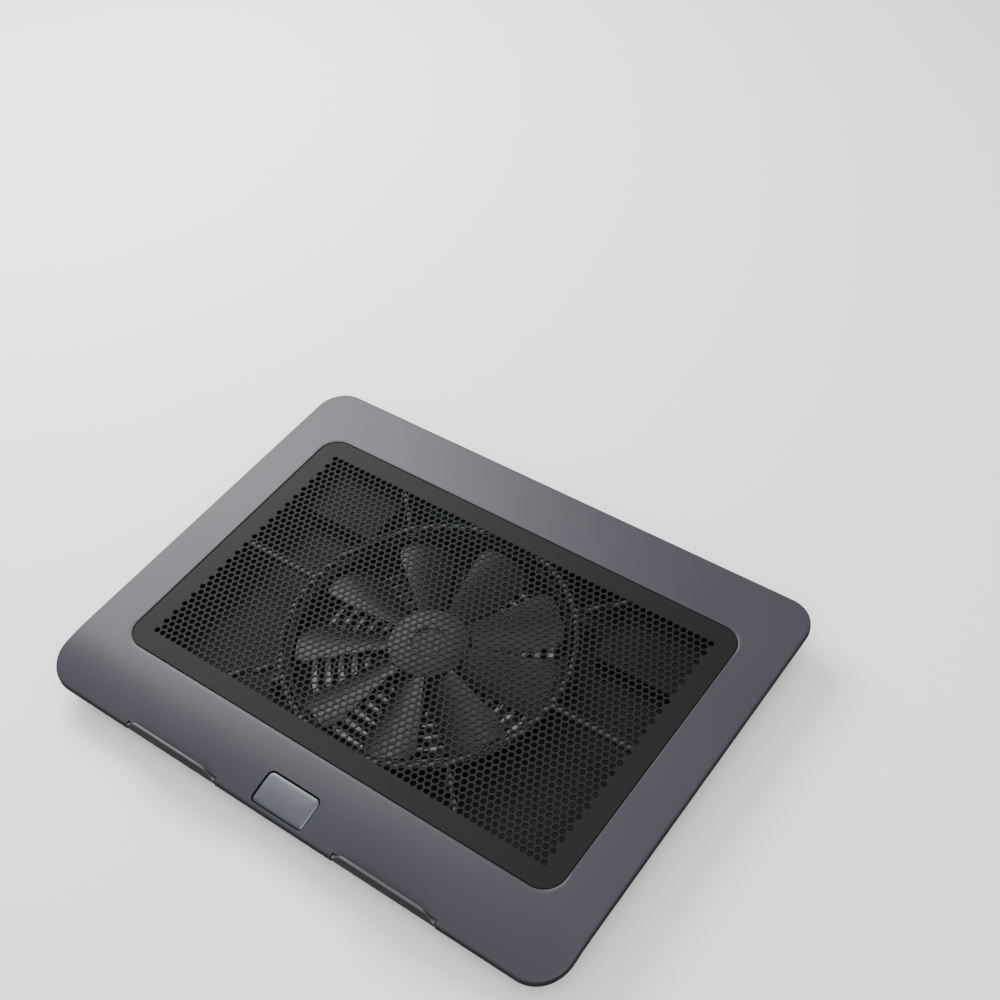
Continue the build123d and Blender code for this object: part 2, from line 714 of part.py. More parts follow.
# ---- case screws: up from the wells in the base into the cover ----------------------
with BuildPart() as case_screws:
    with BuildSketch(Plane.XY.offset(screw_head_z - 1.6)):
        with Locations(*case_screw_points):
            Circle(screw_head_radius)
    extrude(amount=1.6)
    with BuildSketch(Plane.XY.offset(screw_head_z - 1.7)):
        with Locations(*case_screw_points):
            Rectangle(2.8, 0.6)
            Rectangle(0.6, 2.8)
    extrude(amount=0.9, mode=Mode.SUBTRACT)
    with BuildSketch(Plane.XY.offset(screw_head_z)):
        with Locations(*case_screw_points):
            Circle(screw_shank_radius)
    extrude(amount=9.8)
case_screws.part.label = "case_screws"
export_step(case_screws.part, "parts/case_screws.step")

# ---- control board, its screws, sockets, switch and the fan lead --------------------
with BuildPart() as control_board:
    with BuildSketch(Plane.XY.offset(board_low)):
        with Locations((board_x, board_y)):
            RectangleRounded(board_width, board_depth, 1.0)
        with Locations(*board_screw_points):
            Circle(1.15, mode=Mode.SUBTRACT)
    extrude(amount=board_thickness)
    with BuildSketch(Plane.XY.offset(board_top)):
        with Locations((-46, 84), (-40, 84), (-36, 92)):
            Rectangle(2.4, 1.6)
        with Locations((-25, 92)):
            Rectangle(4.2, 3.4)
    extrude(amount=1.1)
control_board.part.label = "control_board"
export_step(control_board.part, "parts/control_board.step")

with BuildPart() as board_screws:
    with BuildSketch(Plane.XY.offset(board_top)):
        with Locations(*board_screw_points):
            Circle(1.9)
    extrude(amount=1.4)
    with BuildSketch(Plane.XY.offset(desk_gap + 1.2)):
        with Locations(*board_screw_points):
            Circle(1.0)
    extrude(amount=board_top - desk_gap - 1.2)
board_screws.part.label = "board_screws"
export_step(board_screws.part, "parts/board_screws.step")


def rear_face(x, z):
    """Plane of a socket mouth, seen from behind the pad."""
    return Plane(origin=(x, socket_face_y, z), x_dir=(1, 0, 0), z_dir=(0, 1, 0))


with BuildPart() as usb_shell:
    with BuildSketch(rear_face(usb_x, board_top + 2.85)):
        RectangleRounded(13.1, 5.7, 0.6)
    extrude(amount=-14.0)
    with BuildSketch(rear_face(usb_x, board_top + 2.85)):
        RectangleRounded(12.4, 5.0, 0.3)
    extrude(amount=-13.4, mode=Mode.SUBTRACT)
usb_shell.part.label = "usb_shell"
export_step(usb_shell.part, "parts/usb_shell.step")

with BuildPart() as usb_tongue:
    with BuildSketch(rear_face(usb_x, board_top + 2.85).offset(-13.4)):
        RectangleRounded(12.3, 4.9, 0.4)
    extrude(amount=3.6)
    with BuildSketch(rear_face(usb_x, board_top + 2.85).offset(-9.8)):
        with Locations((0, -1.1)):
            Rectangle(11.0, 1.8)
    extrude(amount=8.6)
usb_tongue.part.label = "usb_tongue"
export_step(usb_tongue.part, "parts/usb_tongue.step")

with BuildPart() as power_inlet:
    with BuildSketch(rear_face(inlet_x, board_top + 1.4)):
        RectangleRounded(7.7, 2.8, 0.6)
    extrude(amount=-5.6)
    with BuildSketch(rear_face(inlet_x, board_top + 1.4)):
        RectangleRounded(7.1, 2.2, 0.4)
        with Locations((0, 0.3)):
            Rectangle(5.4, 0.6, mode=Mode.SUBTRACT)
    extrude(amount=-5.0, mode=Mode.SUBTRACT)
power_inlet.part.label = "power_inlet"
export_step(power_inlet.part, "parts/power_inlet.step")

switch_z = board_top + 2.0
switch_front_y = 102.6
knob_width = 2.4
with BuildPart() as switch_body:
    with BuildSketch(Plane(origin=(switch_x, switch_front_y, switch_z + 0.2), x_dir=(1, 0, 0), z_dir=(0, 1, 0))):
        Rectangle(9.0, 4.4)
    extrude(amount=-5.6)
    with BuildSketch(Plane(origin=(switch_x, switch_front_y, switch_z), x_dir=(1, 0, 0), z_dir=(0, 1, 0))):
        Rectangle(knob_width + switch_travel + 0.4, 2.4)
    extrude(amount=-2.6, mode=Mode.SUBTRACT)
switch_body.part.label = "switch_body"
export_step(switch_body.part, "parts/switch_body.step")

with BuildPart() as switch_knob:
    knob_x = switch_x - switch_travel / 2
    with BuildSketch(Plane(origin=(knob_x, switch_front_y - 2.2, switch_z), x_dir=(1, 0, 0), z_dir=(0, 1, 0))):
        Rectangle(knob_width, 2.0)
    extrude(amount=6.8)
    fillet(switch_knob.faces().sort_by(Axis.Y)[-1].edges(), 0.4)
switch_knob.part.label = "switch_knob"
export_step(switch_knob.part, "parts/switch_knob.step")

plug_x = -31.0
plug_front_y = 81.6
plug_z = board_top + 2.0
with BuildPart() as lead_plug:
    with BuildSketch(Plane.XY.offset(board_top)):
        with Locations((plug_x, plug_front_y + 2.8)):
            Rectangle(5.4, 5.6)
    extrude(amount=4.2)
    chamfer(lead_plug.faces().sort_by(Axis.Z)[-1].edges(), 0.3)
lead_plug.part.label = "lead_plug"
export_step(lead_plug.part, "parts/lead_plug.step")

lead_z = fan_floor + 0.5 + lead_radius + 0.1
lead_dir = (math.cos(math.radians(lead_angle)), math.sin(math.radians(lead_angle)))
lead_route = [
    (15.5 * lead_dir[0], fan_y + 15.5 * lead_dir[1], lead_z),
    (74.5 * lead_dir[0], fan_y + 74.5 * lead_dir[1], lead_z),
    (-32.6, 75.4, lead_z + 1.9),
    (plug_x, plug_front_y - 0.25, plug_z),
]


def bend_radius(before, corner, after):
    """Largest comfortable bend between two straight runs of the lead."""
    run_in = Vector(*corner) - Vector(*before)
    run_out = Vector(*after) - Vector(*corner)
    turn = math.radians(run_in.get_angle(run_out))
    return 0.45 * min(run_in.length, run_out.length) / math.tan(turn / 2)


lead_bends = [bend_radius(*lead_route[i - 1:i + 2]) for i in range(1, len(lead_route) - 1)]
with BuildPart() as fan_lead:
    with BuildLine() as lead_line:
        FilletPolyline(*lead_route, radius=lead_bends)
    with BuildSketch(Plane(origin=lead_route[0], z_dir=lead_line.line % 0)):
        Circle(lead_radius)
    sweep()
fan_lead.part.label = "fan_lead"
export_step(fan_lead.part, "parts/fan_lead.step")
lead_length = lead_line.wires()[0].length
lead_volume = math.pi * lead_radius**2 * lead_length
print("lead bends", [round(r, 1) for r in lead_bends], "length", round(lead_length, 1))
print("lead volume against section times length", round(fan_lead.part.volume / lead_volume, 4))
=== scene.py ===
import bpy
import bmesh
import json
from math import cos, pi, radians, sin, sqrt
from mathutils import Matrix, Vector


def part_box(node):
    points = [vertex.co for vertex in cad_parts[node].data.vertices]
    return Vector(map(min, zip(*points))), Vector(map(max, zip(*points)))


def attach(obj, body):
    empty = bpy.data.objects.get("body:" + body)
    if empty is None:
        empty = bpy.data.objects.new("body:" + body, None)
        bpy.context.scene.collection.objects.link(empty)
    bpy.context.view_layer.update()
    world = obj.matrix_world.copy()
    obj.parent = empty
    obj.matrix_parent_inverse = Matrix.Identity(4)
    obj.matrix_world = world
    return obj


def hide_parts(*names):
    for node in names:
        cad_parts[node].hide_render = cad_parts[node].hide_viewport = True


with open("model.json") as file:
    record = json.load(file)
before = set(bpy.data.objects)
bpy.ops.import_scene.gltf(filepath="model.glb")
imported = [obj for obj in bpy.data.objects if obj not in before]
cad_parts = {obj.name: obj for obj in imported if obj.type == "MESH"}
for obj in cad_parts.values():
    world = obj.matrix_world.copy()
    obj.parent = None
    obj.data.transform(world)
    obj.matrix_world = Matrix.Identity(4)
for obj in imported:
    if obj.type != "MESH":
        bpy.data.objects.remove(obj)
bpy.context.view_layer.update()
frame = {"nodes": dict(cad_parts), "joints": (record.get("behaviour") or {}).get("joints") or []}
nodes = frame["nodes"]

# ---- Camera ---------------------------------------------------------------------------
# A hand-held view from the user's right, above the front right corner.
deck_centre = Vector((0.0, 0.0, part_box("top_cover")[1][2]))
camera_offset = Vector((0.35523, -0.32954, 0.61486))
look_direction = Vector((-0.45158, 0.50942, -0.73251))
camera_roll = radians(-7.48)

camera_data = bpy.data.cameras.new("camera")
camera_data.lens = 54.84
camera_data.sensor_width = 36.0
camera = bpy.data.objects.new("camera", camera_data)
camera_turn = look_direction.to_track_quat("-Z", "Y").to_matrix().to_4x4()
camera.matrix_world = (
    Matrix.Translation(deck_centre + camera_offset) @ camera_turn @ Matrix.Rotation(camera_roll, 4, "Z")
)
bpy.context.scene.collection.objects.link(camera)
bpy.context.scene.camera = camera


# ---- Table top and soft light -----------------------------------------------------------
# A plain pale surface in even white light. A small board behind the pad on the left catches
# upward edges and leaves the front faces darker, and a large one overhead softens shadows.
def new_material(name):
    """Empty node material with its shader; returns both and the node tree."""
    material = bpy.data.materials.new(name)
    material.use_nodes = True
    tree = material.node_tree
    return material, tree, tree.nodes["Principled BSDF"]


table_size = 6.0
table_mesh = bpy.data.meshes.new("table_top")
table_mesh.from_pydata(
    [(x * table_size, y * table_size, 0.0) for x, y in ((-1, -1), (1, -1), (1, 1), (-1, 1))],
    [],
    [(0, 1, 2, 3)],
)
table_top = bpy.data.objects.new("table_top", table_mesh)
bpy.context.scene.collection.objects.link(table_top)
table_material, _, table_shader = new_material("table_white")
table_shader.inputs["Base Color"].default_value = (0.90, 0.90, 0.90, 1.0)
table_shader.inputs["Roughness"].default_value = 0.9
table_mesh.materials.append(table_material)

world = bpy.data.worlds.new("studio_air")
world.use_nodes = True
world.node_tree.nodes["Background"].inputs["Color"].default_value = (1.0, 1.0, 1.0, 1.0)
world.node_tree.nodes["Background"].inputs["Strength"].default_value = 0.72
bpy.context.scene.world = world


def light_board(name, place, aim, width, height, power):
    """Rectangular soft light at a place, aimed at a point."""
    data = bpy.data.lights.new(name, "AREA")
    data.shape = "RECTANGLE"
    data.size = width
    data.size_y = height
    data.energy = power
    lamp = bpy.data.objects.new(name, data)
    turn = (Vector(aim) - Vector(place)).to_track_quat("-Z", "Y").to_matrix().to_4x4()
    lamp.matrix_world = Matrix.Translation(place) @ turn
    bpy.context.scene.collection.objects.link(lamp)


light_board("rear_left_board", (-0.66, 0.34, 0.62), (-0.1, -0.08, 0.0), width=0.6, height=0.45, power=15.0)
light_board("overhead_board", (0.85, -0.8, 1.8), (0.0, 0.0, 0.0), width=1.7, height=1.7, power=40.0)

# ---- Top cover --------------------------------------------------------------------------
# One satin grey moulding: a flat deck round a window, a front strip that falls away in a
# curve, and a thin rim that stands out past the base. Moulded, with sharp notches for the
# two stops and a pocket for the badge.
cover_low, cover_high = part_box("top_cover")
panel_low, panel_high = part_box("mesh_panel")
base_low, base_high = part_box("base_shell")
deck_z = cover_high[2]
half_width = cover_high[0]
front_y = cover_low[1]
rear_y = cover_high[1]
strip_depth = 0.034
strip_drop = 0.0056
rim_height = 0.004
cover_wall = 0.0024
rim_band = 0.008
rim_step = 0.0004
skirt_wall = 0.002
skirt_radius = 0.012
skirt_gap = 0.0002
front_radius = 0.0185
rear_radius = 0.0165
strip_start = front_y + strip_depth
panel_seat = panel_low[2]
panel_gap = 0.0004
ledge_width = 0.0036
window_half = panel_high[0] - ledge_width
window_front = panel_low[1] + ledge_width
window_rear = panel_high[1] - ledge_width
part_line = base_high[2]


def strip_height(y):
    """Top of the cover at a distance from the user; it curves down along the front strip."""
    k = max(0.0, (strip_start - y) / strip_depth)
    return deck_z - strip_drop * k * k


def rounded_ring(half, front, rear, radius_front, radius_rear, side_steps=28, arc_steps=14):
    """Plan points round a rectangle with rounded corners, anticlockwise from the front left."""
    corners = (
        (half - radius_front, front + radius_front, radius_front, -90),
        (half - radius_rear, rear - radius_rear, radius_rear, 0),
        (-half + radius_rear, rear - radius_rear, radius_rear, 90),
        (-half + radius_front, front + radius_front, radius_front, 180),
    )
    arcs = []
    for x, y, radius, start in corners:
        turns = [radians(start + 90 * i / arc_steps) for i in range(arc_steps + 1)]
        arcs.append([(x + radius * cos(t), y + radius * sin(t)) for t in turns])
    points = []
    for i, arc in enumerate(arcs):
        points += arc
        begin = arc[-1]
        end = arcs[(i + 1) % 4][0]
        for k in range(1, side_steps):
            f = k / side_steps
            points.append((begin[0] + (end[0] - begin[0]) * f, begin[1] + (end[1] - begin[1]) * f))
    return points


def skin_rings(name, rings, closed=True):
    """Mesh over rings of equal point counts, joined in turn and, if closed, last to first."""
    mesh = bpy.data.meshes.new(name)
    count = len(rings[0])
    spots = [p for ring in rings for p in ring]
    faces = []
    spans = len(rings) if closed else len(rings) - 1
    for r in range(spans):
        a = r * count
        b = ((r + 1) % len(rings)) * count
        for i in range(count):
            j = (i + 1) % count
            faces.append((a + i, a + j, b + j, b + i))
    mesh.from_pydata(spots, [], faces)
    piece = bpy.data.objects.new(name, mesh)
    bpy.context.scene.collection.objects.link(piece)
    shell = bmesh.new()
    shell.from_mesh(mesh)
    bmesh.ops.remove_doubles(shell, verts=shell.verts, dist=1e-6)
    bmesh.ops.recalc_face_normals(shell, faces=shell.faces)
    shell.to_mesh(mesh)
    shell.free()
    return piece


def shade(piece, angle=35.0):
    """Smooth shading with crisp edges where faces meet at more than an angle."""
    mesh = piece.data
    for polygon in mesh.polygons:
        polygon.use_smooth = True
    mesh.set_sharp_from_angle(angle=radians(angle))


def bake_modifiers(piece):
    """Turns the piece's modifiers into plain mesh."""
    evaluated = piece.evaluated_get(bpy.context.evaluated_depsgraph_get())
    finished = bpy.data.meshes.new_from_object(evaluated)
    piece.modifiers.clear()
    piece.data = finished


def blend_rings(outer, inner, f):
    """Plan points part of the way from one ring to another."""
    return [(a[0] + (b[0] - a[0]) * f, a[1] + (b[1] - a[1]) * f) for a, b in zip(outer, inner)]


def rim_ring(inset):
    """Pad outline moved inwards."""
    shrink = 0.6 * inset
    return rounded_ring(
        half_width - inset, front_y + inset, rear_y - inset, front_radius - shrink, rear_radius - shrink
    )


def draped(plan, drop):
    """Plan points laid on the deck and lowered by a distance."""
    return [(x, y, strip_height(y) - drop) for x, y in plan]


def level(plan, z):
    """Plan points at one height."""
    return [(x, y, z) for x, y in plan]


edge_roll = 0.0011
under_roll = 0.0008
ledge_radius = 0.012
window_radius = 0.008
lip_drop = 0.00025
lip_share = 0.02
ledge_ring = rounded_ring(
    panel_high[0] + panel_gap, panel_low[1] - panel_gap, panel_high[1] + panel_gap, ledge_radius, ledge_radius
)
window_ring = rounded_ring(window_half, window_front, window_rear, window_radius, window_radius)
skirt_ring = rounded_ring(base_high[0], base_low[1], base_high[1], skirt_radius, skirt_radius)
skirt_inner = rounded_ring(
    base_high[0] - skirt_wall,
    base_low[1] + skirt_wall,
    base_high[1] - skirt_wall,
    skirt_radius - skirt_wall,
    skirt_radius - skirt_wall,
)

cover_rings = [draped(ledge_ring, lip_drop)]
edge_inner = rim_ring(edge_roll)
ledge_lip = blend_rings(ledge_ring, edge_inner, lip_share)
for f in (0.0, 0.04, 0.12, 0.25, 0.38, 0.5, 0.62, 0.74, 0.84, 0.92, 0.97, 1.0):
    cover_rings.append(draped(blend_rings(ledge_lip, edge_inner, f), 0.0))
for step in range(1, 6):
    turn = radians(90 * step / 5)
    inset = edge_roll * (1 - sin(turn))
    cover_rings.append(draped(rim_ring(inset), edge_roll * (1 - cos(turn))))
cover_rings.append(draped(rim_ring(0.0), rim_height * 0.55))
for step in range(0, 5):
    turn = radians(90 * step / 4)
    inset = under_roll * (1 - cos(turn))
    cover_rings.append(draped(rim_ring(inset), rim_height - under_roll * (1 - sin(turn))))
cover_rings.append(draped(rim_ring(rim_band), rim_height))
cover_rings.append(draped(rim_ring(rim_band + rim_step), cover_wall))
cover_rings.append(draped(skirt_ring, cover_wall))
cover_rings.append(level(skirt_ring, part_line + skirt_gap))
cover_rings.append(level(skirt_inner, part_line + skirt_gap))
cover_rings.append(draped(skirt_inner, cover_wall))
for f in (0.25, 0.5, 0.75, 1.0):
    cover_rings.append(draped(blend_rings(skirt_inner, window_ring, f), cover_wall))
cover_rings.append(level(window_ring, panel_seat))
cover_rings.append(level(ledge_ring, panel_seat))
cover_shell = skin_rings("cover_shell", cover_rings)


def helper_piece(name, spots, faces):
    """Plain mesh from points and faces, for a cut or a copy; it is removed once it is used."""
    mesh = bpy.data.meshes.new(name)
    mesh.from_pydata(spots, [], faces)
    piece = bpy.data.objects.new(name, mesh)
    bpy.context.scene.collection.objects.link(piece)
    return piece


def prism(name, outline, low_z, high_z):
    """Upright prism over plan points given anticlockwise."""
    count = len(outline)
    spots = level(outline, low_z) + level(outline, high_z)
    faces = [tuple(reversed(range(count))), tuple(range(count, 2 * count))]
    for i in range(count):
        j = (i + 1) % count
        faces.append((i, j, count + j, count + i))
    return helper_piece(name, spots, faces)


def cut_out(piece, tools):
    """Cuts each tool out of the piece and removes the tools."""
    for tool in tools:
        cut = piece.modifiers.new(tool.name, "BOOLEAN")
        cut.operation = "DIFFERENCE"
        cut.solver = "EXACT"
        cut.object = tool
    bake_modifiers(piece)
    for tool in tools:
        bpy.data.objects.remove(tool)


badge_low, badge_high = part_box("badge_plate")
badge_centre_x = (badge_low[0] + badge_high[0]) / 2
badge_set_back = 0.0027
badge_front = front_y + badge_set_back
badge_half = (badge_high[0] - badge_low[0]) / 2
badge_depth = 0.0165
badge_groove = 0.0006
pocket_floor = deck_z - 0.0069
pocket_front_radius = 0.0026
pocket_rear_radius = 0.0036
notch_gap = 0.0003
barrel_notch_depth = 0.0042
barrel_notch_top = 0.01745
blade_notch_depth = 0.0025
blade_notch_low = 0.0170
past_front = front_y - 0.01
past_top = 0.05


def shifted(plan, x):
    """Plan points moved sideways."""
    return [(a + x, b) for a, b in plan]


pocket_plan = shifted(
    rounded_ring(
        badge_half + badge_groove,
        badge_front - badge_groove,
        badge_front + badge_depth + badge_groove,
        pocket_front_radius,
        pocket_rear_radius,
        side_steps=2,
        arc_steps=8,
    ),
    badge_centre_x,
)
cutters = []
for side in ("left", "right"):
    stop_low, stop_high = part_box(side + "_stopper")
    for part, rear, low_z, high_z in (
        ("barrel", front_y + barrel_notch_depth, 0.0, barrel_notch_top),
        ("blade", front_y + blade_notch_depth, blade_notch_low, past_top),
    ):
        notch_plan = [
            (stop_low[0] - notch_gap, past_front),
            (stop_high[0] + notch_gap, past_front),
            (stop_high[0] + notch_gap, rear),
            (stop_low[0] - notch_gap, rear),
        ]
        cutters.append(prism(side + "_notch_" + part, notch_plan, low_z, high_z))
cutters.append(prism("badge_pocket", pocket_plan, pocket_floor, past_top))
cut_out(cover_shell, cutters)
shade(cover_shell, 28.0)


def link_all(tree, pairs):
    """Joins node sockets in a material, each pair given as output and input."""
    for source, target in pairs:
        tree.links.new(source, target)


def moulded(name, tone, rough, tooth_scale=2600.0, tooth_depth=0.00005, clouds_spread=0.06):
    """Moulded plastic or rubber: faint cloudy flow marks over a fine tooth left by the mould."""
    material, tree, shader = new_material(name)
    place = tree.nodes.new("ShaderNodeTexCoord")
    clouds = tree.nodes.new("ShaderNodeTexNoise")
    clouds.inputs["Scale"].default_value = 14.0
    clouds.inputs["Detail"].default_value = 3.0
    shades = tree.nodes.new("ShaderNodeValToRGB")
    shades.color_ramp.elements[0].position = 0.3
    shades.color_ramp.elements[0].color = tuple(c * (1 - clouds_spread) for c in tone) + (1.0,)
    shades.color_ramp.elements[1].position = 0.7
    shades.color_ramp.elements[1].color = tuple(c * (1 + clouds_spread) for c in tone) + (1.0,)
    tooth = tree.nodes.new("ShaderNodeTexNoise")
    tooth.inputs["Scale"].default_value = tooth_scale
    tooth.inputs["Detail"].default_value = 2.0
    gloss = tree.nodes.new("ShaderNodeMapRange")
    gloss.inputs["To Min"].default_value = rough - 0.05
    gloss.inputs["To Max"].default_value = rough + 0.05
    bump = tree.nodes.new("ShaderNodeBump")
    bump.inputs["Strength"].default_value = 0.5
    bump.inputs["Distance"].default_value = tooth_depth
    link_all(tree, (
        (place.outputs["Object"], clouds.inputs["Vector"]),
        (place.outputs["Object"], tooth.inputs["Vector"]),
        (clouds.outputs["Fac"], shades.inputs["Fac"]),
        (shades.outputs["Color"], shader.inputs["Base Color"]),
        (tooth.outputs["Fac"], gloss.inputs["Value"]),
        (gloss.outputs["Result"], shader.inputs["Roughness"]),
        (tooth.outputs["Fac"], bump.inputs["Height"]),
        (bump.outputs["Normal"], shader.inputs["Normal"]),
    ))
    return material


def finish_piece(piece, material, body, slot, *stands_for):
    """Gives a finished piece its material and its body, and hides the nodes that it stands for."""
    piece.data.materials.clear()
    piece.data.materials.append(material)
    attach(piece, body)
    if stands_for:
        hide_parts(*stands_for)


def coat_node(node, material):
    """Better material for a piece that keeps its own shape."""
    mesh = nodes[node].data
    mesh.materials.clear()
    mesh.materials.append(material)


def shade_sides_by_facing(material, side_shade, shine):
    """Painted shade: keeps the satin colour on upward faces and darkens the sides towards a side tone, for
    faces turned from the light; the sides are also rougher.
    """
    tree = material.node_tree
    shader = tree.nodes["Principled BSDF"]
    colour_in = shader.inputs["Base Color"].links[0].from_socket
    rough_in = shader.inputs["Roughness"].links[0].from_socket
    place = tree.nodes.new("ShaderNodeTexCoord")
    facing = tree.nodes.new("ShaderNodeSeparateXYZ")
    # Share of each face that faces upward; it masks the painted side shade.
    cover = tree.nodes.new("ShaderNodeMapRange")
    cover.inputs["From Min"].default_value = 0.4
    cover.inputs["From Max"].default_value = 0.9
    shader.inputs["Specular IOR Level"].default_value = shine
    mix = tree.nodes.new("ShaderNodeMix")
    mix.data_type = "RGBA"
    mix.inputs["A"].default_value = side_shade + (1.0,)
    dull = tree.nodes.new("ShaderNodeMix")
    dull.inputs["A"].default_value = 0.95
    link_all(tree, (
        (place.outputs["Normal"], facing.inputs["Vector"]),
        (facing.outputs["Z"], cover.inputs["Value"]),
        (cover.outputs["Result"], mix.inputs["Factor"]),
        (colour_in, mix.inputs["B"]),
        (mix.outputs["Result"], shader.inputs["Base Color"]),
        (cover.outputs["Result"], dull.inputs["Factor"]),
        (rough_in, dull.inputs["B"]),
        (dull.outputs["Result"], shader.inputs["Roughness"]),
    ))
    return material


# Painted shade: the cover's rim, edges and other sides are darkened towards this tone.
cover_side_shade = (0.006, 0.006, 0.008)
cover_paint = moulded("cover_satin_grey", (0.034, 0.034, 0.043), 0.42, 2400.0, 0.00003)
cover_grey = shade_sides_by_facing(cover_paint, cover_side_shade, 0.22)
finish_piece(cover_shell, cover_grey, "case", "satin_grey", "top_cover")

# ---- Ribs under the window ----------------------------------------------------------------
# Part of the same moulding: a guard ring over the fan and eight ribs that carry the steel
# deck. They are seen through its holes.
fan_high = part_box("fan_impeller")[1]
fan_joint = [j for j in frame["joints"] if j["name"] == "fan_spin"][0]
fan_y = fan_joint["pos_m"][1]
guard_inner = 0.075
guard_outer = 0.078
guard_low = deck_z - 0.0041
guard_top = panel_seat - 0.0001
guard_break = 0.0004
window_rib_count = 8
rib_half = 0.0012
rib_narrowing = 0.8


def circle(radius, z, steps=96):
    """Ring of points round the fan's axis."""
    turns = [2 * pi * i / steps for i in range(steps)]
    return [(radius * cos(turn), fan_y + radius * sin(turn), z) for turn in turns]


guard_ring = skin_rings(
    "guard_ring",
    [
        circle(guard_inner, guard_low),
        circle(guard_inner, guard_top - guard_break),
        circle(guard_inner + guard_break, guard_top),
        circle(guard_outer - guard_break, guard_top),
        circle(guard_outer, guard_top - guard_break),
        circle(guard_outer, guard_low),
    ],
)
shade(guard_ring)
guard_black = moulded("guard_bare_black", (0.010, 0.010, 0.012), 0.65, 1300.0, 0.00005)
finish_piece(guard_ring, guard_black, "case", "satin_grey", "top_cover")

rib_mesh = bmesh.new()
for i in range(window_rib_count):
    angle = radians(360 / window_rib_count * i)
    along = Vector((cos(angle), sin(angle), 0.0))
    across = Vector((-sin(angle), cos(angle), 0.0)) * rib_half
    reach_x = window_half / abs(cos(angle)) if abs(cos(angle)) > 0.01 else 1.0
    edge_y = window_rear - fan_y if sin(angle) > 0 else fan_y - window_front
    reach_y = edge_y / abs(sin(angle)) if abs(sin(angle)) > 0.01 else 1.0
    start = Vector((0.0, fan_y, 0.0)) + along * (guard_outer - 0.0005)
    end = Vector((0.0, fan_y, 0.0)) + along * (min(reach_x, reach_y) + 0.0008)
    spots = []
    for z, narrow in ((guard_low, 1.0), (guard_top, rib_narrowing)):
        for foot, side_sign in ((start, -1), (end, -1), (end, 1), (start, 1)):
            spot = foot + across * narrow * side_sign
            spots.append(rib_mesh.verts.new((spot.x, spot.y, z)))
    for face in ((3, 2, 1, 0), (4, 5, 6, 7), (0, 1, 5, 4), (1, 2, 6, 5), (2, 3, 7, 6), (3, 0, 4, 7)):
        rib_mesh.faces.new([spots[k] for k in face])
ribs_data = bpy.data.meshes.new("window_ribs")
rib_mesh.to_mesh(ribs_data)
rib_mesh.free()
window_ribs = bpy.data.objects.new("window_ribs", ribs_data)
bpy.context.scene.collection.objects.link(window_ribs)
shade(window_ribs)
finish_piece(window_ribs, guard_black, "case", "satin_grey", "top_cover")

# ---- Perforated deck ----------------------------------------------------------------------
# Thin steel sheet punched with a close pattern of six-sided holes, with a plain margin all
# round, and coated in matt black powder. It lies on the ledge round the window.
sheet_top = panel_high[2]
sheet_low = panel_low[2]
hole_pitch = 0.0040
hole_share = 0.74
cell_inset = 0.00005
weld_gap = 0.00004
margin = 0.0052
hole_corner = 0.0015
sheet_corner = 0.0116
sheet_roll = 0.0003


def node_tree(name, sockets):
    """Geometry tree with named inputs; returns the tree, its input node and its output node."""
    tree = bpy.data.node_groups.new(name, "GeometryNodeTree")
    for title, kind in sockets:
        tree.interface.new_socket(name=title, in_out="INPUT", socket_type=kind)
    tree.interface.new_socket(name="Geometry", in_out="OUTPUT", socket_type="NodeSocketGeometry")
    return tree, tree.nodes.new("NodeGroupInput"), tree.nodes.new("NodeGroupOutput")


def run_tree(name, tree, values):
    """Runs a geometry tree with its named inputs and keeps the result as a plain mesh piece."""
    holder = bpy.data.objects.new(name, bpy.data.meshes.new(name))
    bpy.context.scene.collection.objects.link(holder)
    step = holder.modifiers.new(name, "NODES")
    step.node_group = tree
    for item in tree.interface.items_tree:
        if item.in_out == "INPUT" and item.name in values:
            step[item.identifier] = values[item.name]
    holder.update_tag()
    bake_modifiers(holder)
    return holder


def cell_piece(name, pitch, share, low_z, high_z):
    """One six-sided cell of the sheet with its hole; cells meet along their outer edges."""
    outer = pitch / sqrt(3)
    turns = [radians(30 + 60 * i) for i in range(6)]
    rims = []
    for radius, z in ((outer, high_z), (outer * share, high_z), (outer * share, low_z), (outer, low_z)):
        rims.append([(radius * cos(t), radius * sin(t), z) for t in turns])
    spots = [p for rim in rims for p in rim]
    faces = []
    for level_index in range(3):
        for i in range(6):
            j = (i + 1) % 6
            a = level_index * 6
            b = a + 6
            faces.append((a + i, a + j, b + j, b + i))
    return helper_piece(name, spots, faces)


def plain_piece(name, pitch, low_z, high_z):
    """One unpunched six-sided cell, which fills the border of the pattern."""
    outer = pitch / sqrt(3)
    turns = [radians(30 + 60 * i) for i in range(6)]
    spots = [(outer * cos(t), outer * sin(t), z) for z in (low_z, high_z) for t in turns]
    return helper_piece(name, spots, [(5, 4, 3, 2, 1, 0), (6, 7, 8, 9, 10, 11)])


def maths(tree, operation, *values):
    """Maths node; each value is a number or the output of another node."""
    node = tree.nodes.new("ShaderNodeMath")
    node.operation = operation
    for socket, value in zip(node.inputs, values):
        if isinstance(value, (int, float)):
            socket.default_value = value
        else:
            tree.links.new(value, socket)
    return node.outputs[0]


deck_tree, deck_in, deck_out = node_tree(
    "perforated_deck",
    (
        ("Cell", "NodeSocketObject"),
        ("Plain", "NodeSocketObject"),
        ("Pitch", "NodeSocketFloat"),
        ("Columns", "NodeSocketInt"),
        ("Rows", "NodeSocketInt"),
        ("Centre", "NodeSocketVector"),
        ("Coating", "NodeSocketMaterial"),
    ),
)
column_pitch = deck_in.outputs["Pitch"]
row_pitch = maths(deck_tree, "MULTIPLY", column_pitch, sqrt(3))


